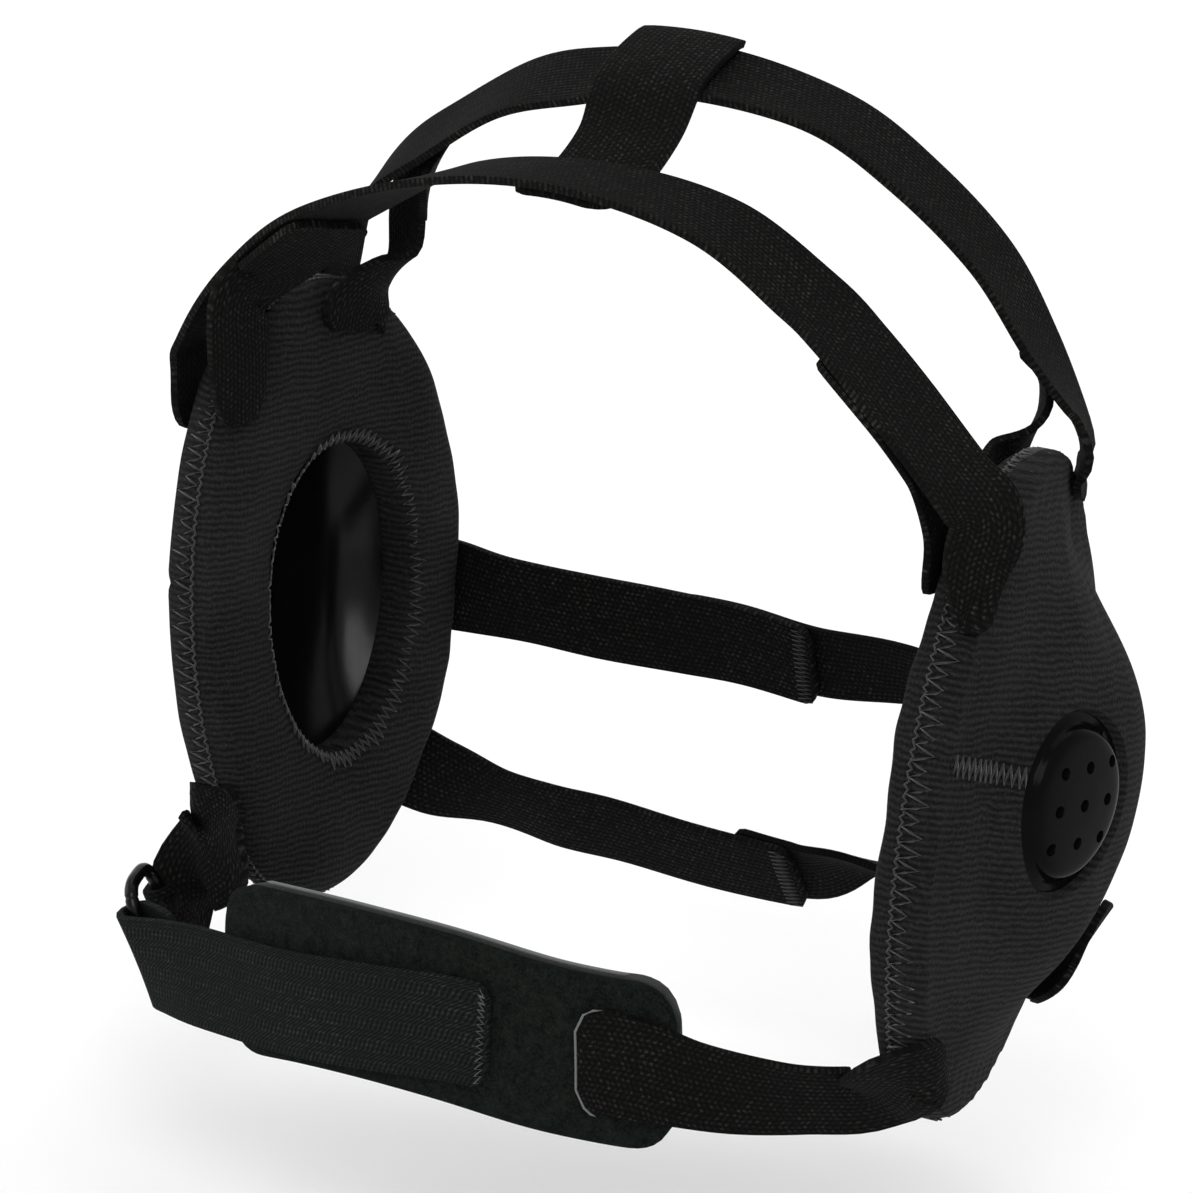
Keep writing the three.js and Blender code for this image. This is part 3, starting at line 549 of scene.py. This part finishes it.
dart_steps = np.linspace(DART_MARGIN, dart_end, DART_STITCHES * len(ZIGZAG) + 1)
dart_x, dart_z = (np.interp(dart_steps, dart_run, line) for line in (dart_front, dart_rise))
dart_swing = np.append(np.tile(ZIGZAG, DART_STITCHES), ZIGZAG[0]) * DART_SWING
dart_y = DART_LOW + DART_SLOPE * (dart_x - DART_REAR) + dart_swing
for side in CUPS:
    thread("dart_stitch_" + side, on_cup(side, dart_x, dart_y, dart_z), cup_thread)

# Front crown strap. Black woven webbing runs from the front corner of the left cup over the head to the right
# cup. Its outer ends are sewn on the covers, and a second ply at each end is sewn on the pad's face.
WEB_WIDE, WEB_THICK, PLY = 19.0, 1.5, 2.0
FRONT_UP, REAR_UP, CROWN_SPREAD, CROWN_CENTRE = 102.0, 112.0, 39.0, 20.0
WEB_DARK, WEB_LIGHT = (0.0016, 0.0016, 0.0015), (0.03, 0.0295, 0.027)


def head_rows(rows, centre, scale):
    """Stations over the head from rows of across, ahead, up, roll and width share. Each gives a place, the
    way that the strap faces there, which is out from the centre and rolled about the strap, and its width."""
    rows = np.asarray([(*r, 1.0)[:5] for r in rows], float)
    places = rows[:, :3] * [scale[0], -scale[1], scale[2]]
    along = np.gradient(places, axis=0)
    along[1:-1] = places[2:] - places[:-2]
    along /= np.linalg.norm(along, axis=1)[:, None]
    out = places - centre
    out -= along * (out * along).sum(1)[:, None]
    out /= np.linalg.norm(out, axis=1)[:, None]
    roll = np.radians(rows[:, 3])[:, None]
    facing = out * np.cos(roll) + np.cross(along, out) * np.sin(roll)
    return [np.concatenate([p - SEAT, f, [w]]) for p, f, w in zip(places, facing, rows[:, 4])]


def cup_row(name, ahead, up, out, forward, upward, wide=1.0):
    """A station on a cup: shares of its front (or rear) and of its height, millimetres out, and the degrees
    that it is turned forward and upward."""
    _, ahead_way, up_way, away = CUPS[name]
    x = ahead * (CUP_FRONT if ahead > 0 else CUP_REAR)
    place = on_cup(name, np.array(x), np.array(up * CUP_HIGH), np.array(float(out)))
    lean_ahead, lean_up = np.tan(np.radians([forward, upward]))
    facing = unit(away + ahead_way * lean_ahead + up_way * lean_up)
    return np.concatenate([place, facing, [wide]])


def shifted(rows, by):
    """The same stations moved along their facing."""
    return [np.concatenate([r[:3] + r[3:6] * by, r[3:]]) for r in rows]


def strap_grid(rows, wide, seed=1, blunt=(2.0, 2.0), wave=0.35, cup=0.25):
    """The middle sheet of a strap through stations, with rounded ends, a slight hollow across and small
    waves. blunt is how far each end is rounded. Gives places along by across, the facing there, the lengths
    run along and the places across."""
    rows = np.asarray(rows)
    fine = smooth_rows(rows, 60 * len(rows))
    length = np.concatenate([[0], np.cumsum(np.linalg.norm(np.diff(fine[:, :3], axis=0), axis=1))])
    count = max(8, int(length[-1] / 1.5))
    at = np.linspace(0, length[-1], count)
    path, facing, share = (np.stack([np.interp(at, length, c) for c in fine[:, k].T], 1) for k in
                           (slice(0, 3), slice(3, 6), slice(6, 7)))
    along = np.gradient(path, axis=0)
    along /= np.linalg.norm(along, axis=1)[:, None]
    facing -= along * (facing * along).sum(1)[:, None]
    facing /= np.linalg.norm(facing, axis=1)[:, None]
    side = np.cross(along, facing)
    across = np.linspace(-1, 1, 15)
    half = wide / 2 * share
    for end, reach in zip((at, at[-1] - at), blunt):
        round_off = np.clip(end / max(reach, 0.1), 0, 1)[:, None]
        half = half * (1 - 0.45 * (1 - np.sqrt(1 - (1 - round_off) ** 2)))
    points = path[:, None] + side[:, None] * (half * across)[..., None]
    hollow = cup * (across**2 - 0.4)
    points = points + facing[:, None] * (hollow[None, :] + wave * ripple(points, 42, seed))[..., None]
    return points, facing, at, half * across


def strap(name, rows, wide, cloth=None, **shape):
    """A strap's middle sheet as a mesh, with its length and width as UV in metres."""
    points, _, at, across = strap_grid(rows, wide, **shape)
    uv = np.stack([at[:, None] + 0 * across, across], -1) * MM
    made = surface(name, points, uv)
    made.data.materials.append(cloth or webbing)
    return made


def tack(name, rows, wide, start, stop, colour, lift, pitch=1.1, **shape):
    """A row of zigzag stitches across a strap, from start to stop along it, as shares of its length."""
    points, facing, at, _ = strap_grid(rows, wide, **shape)
    count = int(wide / pitch)
    swing = np.tile([0.0, 1.0], count)
    u = (start + (stop - start) * swing) * (len(at) - 1)
    v = np.linspace(0, 1, 2 * count) * (points.shape[1] - 1) * 0.94 + 0.4
    i, j = np.clip(u.astype(int), 0, len(at) - 2), np.clip(v.astype(int), 0, points.shape[1] - 2)
    a, b = (u - i)[:, None], (v - j)[:, None]
    low = points[i, j] * (1 - a) + points[i + 1, j] * a
    high = points[i, j + 1] * (1 - a) + points[i + 1, j + 1] * a
    return thread(name, low * (1 - b) + high * b + facing[i] * lift, colour)


def webbing_finish(name, dark, light, twill=0.0):
    """Woven webbing: fine ribs along the strap crossed by its weft, with paler flecks where yarns cross
    over. Twill is how far the weft slants, in millimetres for each one across."""
    f = Finish(name)
    place = f.coordinate("Object")
    u, v, _ = f.split(f.coordinate("UV"))
    drift = f.noise(place, 120.0) * 0.8
    rib = ((v * 1000 + drift * 0.6) * (2 * math.pi / 1.05)).sin() * 0.5 + 0.5
    lean = (v * 1000).math("PINGPONG", 2.1) * 0.6
    weft = ((u * 1000 + v * (1000 * twill) + lean + drift) * (2 * math.pi / 1.15)).sin() * 0.5 + 0.5
    fleck = f.noise(place, 900.0, 3.0, 0.7).between(0.47, 0.66)
    worn = f.noise(place, 55.0, 3.0).between(0.4, 0.7)
    ground = (weft * 0.3 + rib * 0.08) if twill else rib * weft * 0.16
    shade = rib * weft * fleck * (worn * 0.7 + 0.5) + ground * 0.8
    colour = f.mix(shade.math("ADD", 0.0, clamp=True), dark, light)
    height = rib * 0.5 + weft * (0.9 if twill else 0.4) + f.noise(place, 2600.0) * 0.3
    normal = f.bump(height, 0.00025, 0.8)
    return f.surface(Base_Color=colour, Roughness=0.93, Normal=normal, Specular_IOR_Level=0.08)


webbing = webbing_finish("webbing", WEB_DARK, WEB_LIGHT)
strap_thread = thread_finish("strap_thread", (0.007, 0.007, 0.0067))
LIE_OVER, LIE_FACE = 1.75, -2.4


def guard_body(name):
    """A closed form a little larger than a cup's pad and cover, for straps to lie on: the dome's rings moved
    out, over a straight wall and a flat face."""
    angle = np.linspace(0, 2 * math.pi, 120, endpoint=False)
    rows = smooth_rows(SHELL_RINGS, 40)
    skin = dome(rows, angle, -LIE_OVER, LIE_OVER)
    flat_x, flat_y = cup_outline(angle[None, :], CUP_FRONT, CUP_REAR, CUP_HIGH)
    under = [flat_x * 0.0, flat_y * 0.0, flat_x * 0 + LIE_FACE]
    face = [flat_x * 0.9, flat_y * 0.94, flat_x * 0 + LIE_FACE]
    brow = [flat_x * 1.015, flat_y * 1.01, flat_x * 0 + 1.2]
    wall = [flat_x * 1.025, flat_y * 1.015, flat_x * 0 + 8.5]
    top = [np.full((1, len(angle)), skin[i][-1].mean()) for i in range(3)]
    x, y, z = (np.vstack([under[i], face[i], brow[i], wall[i], skin[i][1:], top[i]]) for i in range(3))
    return surface("lie_" + name, on_cup(name, x, y, z), np.zeros((len(x), len(angle) + 1, 2)), (False, True))


lie_on = {side: guard_body(side) for side in CUPS}


def finish_strap(piece, node, thick=WEB_THICK, cups=("right", "left")):
    for cup_name in cups:
        lie = piece.modifiers.new("lie", "SHRINKWRAP")
        lie.target, lie.wrap_method, lie.wrap_mode = lie_on[cup_name], "NEAREST_SURFACEPOINT", "OUTSIDE"
        lie.offset = (thick / 2 + 0.15) * MM
    ease = piece.modifiers.new("ease", "SMOOTH")
    ease.factor, ease.iterations = 0.5, 3
    thicken = piece.modifiers.new("thicken", "SOLIDIFY")
    thicken.thickness, thicken.offset = thick * MM, 0
    soften = piece.modifiers.new("soften", "BEVEL")
    soften.width, soften.segments, soften.limit_method = 0.35 * MM, 2, "ANGLE"
    apply_all(piece)
    piece.data.shade_smooth()
    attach(piece, "root")
    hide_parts(node)
    return piece


crown_centre = np.array([0.0, 0.0, CROWN_CENTRE])
front_rows = head_rows([
    (1.06, 0.52, 0.62, 4, 0.92), (0.88, 0.44, 0.72, 5), (0.74, 0.385, 0.795, 6), (0.62, 0.36, 0.855, 6),
    (0.38, 0.42, 0.965, 9), (0.0, 0.44, 1.0, 14), (-0.42, 0.39, 0.945, 14), (-0.79, 0.25, 0.815, 28),
    (-1.02, 0.2, 0.68, 26),
], crown_centre, (SPAN, CROWN_SPREAD, FRONT_UP))
front_left_inner = shifted(front_rows[1:3][::-1], -PLY)
front_right_inner = shifted(front_rows[7:], -PLY)
front_rows = [
    cup_row("left", 0.9, 0.47, 8, 42, 5, 0.1), cup_row("left", 0.92, 0.56, 8, 42, 5, 0.42),
    cup_row("left", 0.94, 0.68, 8, 42, 8, 0.7), cup_row("left", 0.92, 0.82, 8, 38, 14, 0.82),
    *front_rows,
    cup_row("right", 0.57, 0.86, 14, 12, 16), cup_row("right", 0.6, 0.68, 15, 16, 10, 0.95),
    cup_row("right", 0.58, 0.56, 15, 16, 10, 0.6),
]
finish_strap(strap("front_strap", front_rows, WEB_WIDE, seed=3, wave=0.3), "front_crown_strap")
finish_strap(strap("front_tab_left", [
    *front_left_inner, cup_row("left", 0.7, 0.94, -5.2, 25, 10, 0.9), cup_row("left", 0.62, 0.76, -3, 0, 0),
    cup_row("left", 0.58, 0.56, -3, 0, 0, 0.8),
], WEB_WIDE, seed=4, blunt=(2, 7)), "front_inner_tab_left")
finish_strap(strap("front_tab_right", [
    *front_right_inner, cup_row("right", 0.82, 1.02, -3.4, 0, 0, 0.9),
    cup_row("right", 0.83, 0.82, -3, 0, 0, 0.85), cup_row("right", 0.82, 0.62, -3, 0, 0, 0.6),
], WEB_WIDE, seed=5, blunt=(2, 8)), "front_inner_tab_right")

# Rear crown strap. The same webbing behind it. At each cup it turns edge on and splits into an outer end sewn
# on the cover and an inner end sewn on the pad's face.
rear_rows = head_rows([
    (1.11, -0.64, 0.49, 18), (1.05, -0.63, 0.545, 12), (0.95, -0.615, 0.65, -2),
    (0.815, -0.605, 0.777, -6), (0.605, -0.59, 0.887, -10), (0.36, -0.575, 0.97, -16),
    (0.0, -0.565, 1.0, -27), (-0.3, -0.58, 0.96, -33), (-0.55, -0.615, 0.91, -35),
    (-0.815, -0.69, 0.8, -38), (-0.985, -0.72, 0.714, -36), (-1.1, -0.7, 0.6, -30),
], crown_centre, (SPAN, CROWN_SPREAD, REAR_UP))
rear_left_inner = shifted(rear_rows[2:3], -PLY)
rear_right_inner = shifted(rear_rows[9:10], -PLY)
rear_rows = [
    cup_row("left", -0.3, 0.86, 8.5, -10, -60, 0.5), cup_row("left", -0.33, 0.905, 9.8, -18, -45, 0.8),
    cup_row("left", -0.34, 0.965, 11.4, -24, 5), cup_row("left", -0.34, 1.03, 11, -28, 39), *rear_rows[1:],
    cup_row("right", -0.36, 0.9, 14, 0, 20), cup_row("right", -0.34, 0.72, 17, 0, 14, 0.5),
]
finish_strap(strap("rear_strap", rear_rows, WEB_WIDE, seed=6, wave=0.3), "rear_crown_strap")
finish_strap(strap("rear_tab_left", [
    *rear_left_inner, cup_row("left", -0.26, 1.12, 1, -30, 0, 0.4),
    cup_row("left", -0.1, 0.94, -3.2, 0, 0, 0.8), cup_row("left", 0.14, 0.84, -3, 0, 0, 0.9),
    cup_row("left", 0.26, 0.78, -3, 0, 0, 0.8),
], WEB_WIDE, seed=7, blunt=(2, 3)), "rear_inner_tab_left")
finish_strap(strap("rear_tab_right", [
    *rear_right_inner, cup_row("right", -0.5, 1.24, -4, 62, 0, 0.8),
    cup_row("right", -0.44, 1.06, -4.5, 64, 0, 0.75), cup_row("right", -0.24, 0.96, -3.4, 30, 0, 0.9),
    cup_row("right", -0.13, 0.9, -3, 0, 0), cup_row("right", -0.11, 0.84, -3, 0, 0),
], WEB_WIDE, seed=8, blunt=(2, 2)), "rear_inner_tab_right")

# Crown bridge. A short wider piece of webbing joins the crown straps. It is sewn under the front one and
# wrapped over the rear one, with its edges drawn in a little. Each station gives its place, the way that the
# webbing faces there, and its width share.
BRIDGE_WIDE = 22.0
front_under, rear_over = FRONT_UP - PLY, REAR_UP + PLY
bridge_rows = [
    (-0.02, -0.6, front_under * 0.997, 0, 0, 1, 0.95), (-0.02, -0.28, front_under * 0.994, 0, -0.1, 1, 0.95),
    (-0.03, 0.06, front_under * 1.05, 0, -0.4, 1, 0.96), (-0.06, 0.33, rear_over * 0.988, 0, -0.25, 1, 1.0),
    (-0.09, 0.76, rear_over * 1.022, 0, 0, 1, 1.0), (-0.09, 0.87, rear_over * 1.0, 0, 1, 0.2, 1.0),
]
bridge_rows = [
    np.concatenate([[across * SPAN, ahead * CROWN_SPREAD, up] - SEAT, unit(np.array(facing)), [wide]])
    for across, ahead, up, *facing, wide in bridge_rows
]
finish_strap(strap("bridge", bridge_rows, BRIDGE_WIDE, seed=9, wave=0.25, cup=-0.5), "crown_bridge", cups=())

# Back straps. Behind the head a wide strap from the right cup laps over a narrower one from the left cup,
# once at the middle of the head and once at the nape. They are webbing, each sewn on the side of its cup.
NAPE, UPPER_DOWN, LOWER_DOWN, LINK_WIDE, LOWER_WIDE = 52.0, 11.0, 56.0, 16.0, 17.28
upper_scale, lower_scale = (SPAN, NAPE, UPPER_DOWN), (SPAN, NAPE, LOWER_DOWN)
upper_centre, lower_centre = np.array([0, 0, -UPPER_DOWN]), np.array([0, 0, -LOWER_DOWN])
upper_rows = [
    cup_row("right", -0.92, -0.1, 14.5, -55, 0, 0.9), cup_row("right", -1.05, -0.1, 5, -75, 0),
    *head_rows([
        (-0.76, -0.9, -0.9, 14), (-0.54, -0.95, -1.0, 14), (-0.32, -0.98, -1.0, 12), (-0.13, -1.0, -1.0, 14),
        (0.1, -1.0, -1.1, 18),
    ], upper_centre, upper_scale),
]
finish_strap(strap("upper_strap", upper_rows, WEB_WIDE, seed=10, blunt=(2, 1)), "upper_back_strap")
finish_strap(strap("upper_link", [
    *shifted(head_rows([
        (-0.32, -0.98, -1.0, 12), (-0.13, -1.0, -1.0, 14), (0.1, -1.0, -1.1, 18), (0.4, -0.97, -0.9, 26),
        (0.7, -0.85, -0.9, 26),
    ], upper_centre, upper_scale), PLY + 0.2),
    cup_row("left", -1.05, -0.05, 5, -75, 0), cup_row("left", -0.92, -0.05, 14.5, -55, 0, 0.9),
], LINK_WIDE, seed=11), "upper_back_link")
lower_rows = [
    cup_row("right", -0.45, -0.54, 15, -20, -22, 0.7), cup_row("right", -0.71, -0.63, 10.5, -46, -18, 0.95),
    cup_row("right", -0.93, -0.735, 3, -80, 0),
    *head_rows([
        (-0.83, -0.88, -0.93, 31), (-0.66, -0.92, -0.965, 28), (-0.49, -0.96, -0.98, 26),
        (-0.25, -0.99, -1.01, 26), (0.06, -1.0, -1.01, 30),
    ], lower_centre, lower_scale),
]
finish_strap(strap("lower_strap", lower_rows, LOWER_WIDE, seed=12, blunt=(2, 1)), "lower_back_strap")
finish_strap(strap("lower_link", [
    *shifted(head_rows([
        (-0.15, -1.0, -1.01, 28), (0.06, -1.0, -1.01, 32), (0.22, -0.99, -0.94, 60), (0.4, -0.97, -0.92, 66),
        (0.66, -0.9, -0.93, 50, 0.8),
    ], lower_centre, lower_scale), PLY + 0.2),
    cup_row("left", -0.95, -0.53, 4, -76, -58, 1.1), cup_row("left", -0.925, -0.545, 11, -74, -70, 1.4),
    cup_row("left", -0.8, -0.5, 17, -56, -56, 1.4), cup_row("left", -0.66, -0.43, 20, -38, -34, 1.1),
], LINK_WIDE, seed=13), "lower_back_link")
for name, rows, wide, seed in (("upper", upper_rows, WEB_WIDE, 10), ("lower", lower_rows, LOWER_WIDE, 12)):
    tack(name + "_tack", rows, wide, 0.955, 0.985, strap_thread, lift=-0.85, seed=seed, blunt=(2, 1))

# Chin piece. A curved pad of brushed greenish-black cloth over pale foam, whose cut edge shows along the top.
# It is held by a tab on the right, folded round a ring, and by the left cup's strap, fastened on its front.
CHIN_AHEAD, CHIN_DOWN, CHIN_HIGH, CHIN_TAB, CHIN_STRAP = 62.0, 50.0, 33.0, 21.0, 17.0
chin_scale, chin_centre = (SPAN, CHIN_AHEAD, CHIN_DOWN), np.array([0, 0, -CHIN_DOWN])
CHIN_ROWS = [
    (-0.76, 0.84, -1.05, 0, 0.86), (-0.72, 0.86, -1.04, 0), (-0.5, 0.925, -0.985, 0), (-0.25, 0.98, -0.94, 0),
    (0.0, 1.0, -0.925, 0), (0.25, 0.97, -0.96, 0), (0.43, 0.915, -0.98, 0), (0.54, 0.87, -0.98, 0),
    (0.59, 0.85, -0.98, 0, 0.9),
]


def brushed_finish(name, dark, light):
    """Brushed loop cloth: short soft fibres in clumps."""
    f = Finish(name)
    place = f.coordinate("Object")
    clump = f.noise(place, 420.0, 4.0, 0.75)
    fibre = f.noise(place, 1900.0, 2.0, 0.7)
    shade = clump.between(0.38, 0.72) * 0.5 + fibre.between(0.45, 0.7) * 0.5
    normal = f.bump(clump * 0.7 + fibre * 0.5, 0.0006, 0.8)
    colour = f.mix(shade, dark, light)
    return f.surface(Base_Color=colour, Roughness=0.97, Normal=normal, Specular_IOR_Level=0.08)


def foam_finish():
    """Cut foam: small cells, paler and darker."""
    f = Finish("foam")
    cells = f.noise(f.coordinate("Object"), 900.0, 3.0, 0.6)
    colour = f.mix(cells, (0.006, 0.007, 0.0065), (0.035, 0.038, 0.036))
    return f.surface(Base_Color=colour, Roughness=0.9, Normal=f.bump(cells, 0.0003, 0.6))


chin_cloth = brushed_finish("chin_cloth", (0.0016, 0.0024, 0.0019), (0.012, 0.0165, 0.0135))
chin_twill = webbing_finish("chin_twill", (0.0018, 0.0026, 0.0021), (0.026, 0.031, 0.028), twill=1.1)
foam = foam_finish()
edge_thread = thread_finish("edge_thread", (0.12, 0.128, 0.124))
chin_thread = thread_finish("chin_thread", (0.013, 0.016, 0.0145))
CHIN_SHAPE = {"seed": 14, "blunt": (9, 9), "wave": 0.25, "cup": -0.8}
edge_rows = shifted(head_rows(CHIN_ROWS, chin_centre, chin_scale), -3.3)
edge_path = strap_grid(edge_rows, CHIN_HIGH, **CHIN_SHAPE)[0]
top_side = int(edge_path[:, 0, 2].mean() < edge_path[:, -1, 2].mean()) * -1
thread("jaw_edge", edge_path[7:-6, top_side] + [0, 0, 0.35], edge_thread, 0.32)
for node, thick, back, cloth, slot_name in (
    ("chin_pad", 2.2, 2.1, chin_cloth, "chin_cloth"),
    ("chin_lining", 3.0, 5.0, foam, "foam"),
):
    rows = shifted(head_rows(CHIN_ROWS, chin_centre, chin_scale), -back)
    piece = strap(node.replace("chin", "jaw"), rows, CHIN_HIGH, cloth, **CHIN_SHAPE)
    finish_strap(piece, node, thick, cups=())

# Chin strap from the left cup. It is webbing, sewn on the cup's lower edge, and its rounded hooked end, bound
# with a pale thread, lies on the chin piece's front.
chin_left_rows = [
    *head_rows([
        (0.36, 0.94, -0.965, 0, 1.2), (0.42, 0.92, -0.965, 0, 1.22), (0.513, 0.885, -0.98, 0, 1.15),
        (0.625, 0.829, -1.018, 0), (0.743, 0.758, -1.045, 12), (0.86, 0.676, -1.06, 20),
        (0.987, 0.574, -1.05, 20),
    ], chin_centre, chin_scale),
    cup_row("left", 0.56, -0.87, 5, 55, -60), cup_row("left", 0.5, -0.84, 9, 35, -40, 1.1),
    cup_row("left", 0.42, -0.81, 11.5, 20, -25, 1.1),
]
finish_strap(strap("jaw_strap_left", chin_left_rows, CHIN_STRAP, seed=15, blunt=(5, 3)), "chin_strap_left")
hook_end, hook_face = strap_grid(chin_left_rows, CHIN_STRAP, seed=15, blunt=(5, 3))[:2]
hook_edge = np.concatenate([hook_end[3:0:-1, 0], hook_end[0], hook_end[1:4, -1]])
thread("hook_edge", hook_edge + hook_face[0] * 0.6, edge_thread, 0.22)

# Chin tab, ring and right strap. The cloth tab is sewn on the chin piece, folds round one bar of a moulded
# black ring and back under itself. A short strap from the right cup folds round the ring's upper corner.
RING_LONG, RING_SHORT = unit(np.array([-0.3, -0.15, 0.94])), unit(np.array([-0.35, 0.93, 0.05]))
RING_LENGTH, RING_BREADTH, RING_WIRE, TAIL = 27.0, 15.0, 3.2, 13.0
tab_bar = np.array([-SPAN * 1.105, -CHIN_AHEAD * 0.645, -CHIN_DOWN * 1.22]) - SEAT
ring_centre = tab_bar + RING_SHORT * RING_BREADTH / 2


def ring_point(angle):
    """Rounded rectangle: cosine and sine, each drawn towards 1, times half the breadth and half the
    length."""
    c, s = np.cos(angle), np.sin(angle)
    return (ring_centre + (np.sign(c) * np.abs(c) ** 0.6 * RING_BREADTH / 2)[..., None] * RING_SHORT
            + (np.sign(s) * np.abs(s) ** 0.6 * RING_LENGTH / 2)[..., None] * RING_LONG)


def fold_round(bar, along, out, tail, wide):
    """Stations that go past a bar, round it and back under."""
    reach = RING_WIRE / 2 + 0.35 + WEB_THICK / 2
    steps = [(-reach, 1, out), (0, 1, out), (reach * 0.7, 0.7, unit(out + along)), (reach, 0, along),
             (reach * 0.7, -0.7, unit(along - out)), (0, -1, -out), (-tail, -0.9, -out)]
    return [np.concatenate([bar + along * a + out * b * reach, f, [wide]]) for a, b, f in steps]


turns = np.linspace(0, 2 * math.pi, 120, endpoint=False)
ring = thread("link_ring", ring_point(turns), plastic, RING_WIRE / 2, closed=True)
round_it = ring.modifiers.new("round", "SUBSURF")
round_it.levels = round_it.render_levels = 1
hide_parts("chin_ring")

tab_along = unit(np.array([-0.88, 0.44, -0.16]))
tab_out = unit(np.cross(RING_LONG, tab_along))
tab_rows = shifted(head_rows([
    (0.142, 0.99, -0.942, 0), (0.02, 1.0, -0.942, 0), (-0.24, 0.985, -0.995, 0), (-0.52, 0.92, -1.07, 0),
    (-0.86, 0.79, -1.155, 0),
], chin_centre, chin_scale), 0.4)
tab_rows = [*tab_rows, *fold_round(tab_bar, tab_along, tab_out, TAIL, 1.0)]
TAB_SHAPE = {"seed": 16, "wave": 0.2, "blunt": (0.5, 1)}
tab = strap("jaw_tab", tab_rows, CHIN_TAB, chin_twill, **TAB_SHAPE)
finish_strap(tab, "chin_tab", cups=())
tack("tab_tack", tab_rows, CHIN_TAB, 0.009, 0.02, chin_thread, lift=0.95, pitch=1.5, **TAB_SHAPE)

RING_FACE = unit(np.cross(RING_SHORT, RING_LONG))
rear_bar = ring_centre + RING_SHORT * RING_BREADTH / 2
bend = np.array([-SPAN * 1.13, -CHIN_AHEAD * 0.36, -CHIN_DOWN]) - SEAT
finish_strap(strap("jaw_strap_right", [
    cup_row("right", 0.79, -0.54, 3.5, 75, -60, 0.75), cup_row("right", 0.78, -0.65, 3.5, 75, -60, 1.05),
    cup_row("right", 0.82, -0.76, 3.5, 75, -60, 1.1),
    np.concatenate([bend, unit(np.array([0.1, -0.85, 0.52])), [1.05]]),
    *fold_round(rear_bar, -RING_SHORT, RING_FACE, TAIL * 0.6, 0.85),
], WEB_WIDE, seed=17, wave=0.1, blunt=(7, 2)), "chin_strap_right", cups=("right",))

for helper in lie_on.values():
    bpy.data.objects.remove(helper)

# Floor, light and camera. A plain pale floor lies under the hanging guard, in soft studio light. The camera
# stands at the photograph's angle, aimed at the same place and with the same scale.
floor_z = cad_low.z - 0.035
bpy.ops.mesh.primitive_plane_add(size=12, location=(0, 0, floor_z))
floor = bpy.context.object
floor.name = "floor"
pale = Finish("floor")
floor.data.materials.append(pale.surface(Base_Color=(0.9, 0.9, 0.9, 1), Roughness=0.85))

AZIMUTH, ELEVATION, DISTANCE, SCALE = 34.0, 20.9, 1.3, 5.38
FRAME_WIDE, FRAME_HIGH, CENTRE_X, CENTRE_Y = 1192, 1193, 632.4, 682.1
a, e = math.radians(AZIMUTH), math.radians(ELEVATION)
back = Vector((math.sin(a) * math.cos(e), -math.cos(a) * math.cos(e), math.sin(e)))
target = Vector(-SEAT * MM)
camera_data = bpy.data.cameras.new("camera")
camera = bpy.data.objects.new("camera", camera_data)
bpy.context.scene.collection.objects.link(camera)
camera.location = target + back * DISTANCE
camera.rotation_mode = "QUATERNION"
camera.rotation_quaternion = (-back).to_track_quat("-Z", "Y")
camera_data.sensor_width = 36
camera_data.lens = 36 * SCALE * DISTANCE * 1000 / FRAME_HIGH
camera_data.shift_x = (FRAME_WIDE / 2 - CENTRE_X) / FRAME_HIGH
camera_data.shift_y = (CENTRE_Y - FRAME_HIGH / 2) / FRAME_HIGH
bpy.context.scene.camera = camera

world = bpy.data.worlds.new("world")
world.use_nodes = True
world.node_tree.nodes["Background"].inputs[0].default_value = (1, 1, 1, 1)
world.node_tree.nodes["Background"].inputs[1].default_value = 0.8
bpy.context.scene.world = world
for name, place, power, size in (
    ("key", (0.9, -1.2, 1.1), 13, 0.9),
    ("fill", (-1.5, -0.6, 0.6), 7, 1.2),
    ("top", (0.1, 0.6, 1.5), 8, 1.4),
):
    lamp = bpy.data.lights.new(name, "AREA")
    lamp.energy, lamp.size = power, size
    light = bpy.data.objects.new(name, lamp)
    light.location = place
    light.rotation_mode = "QUATERNION"
    light.rotation_quaternion = (Vector((0, 0, -0.1)) - Vector(place)).to_track_quat("-Z", "Y")
    bpy.context.scene.collection.objects.link(light)
bpy.context.scene.view_settings.view_transform = "Standard"
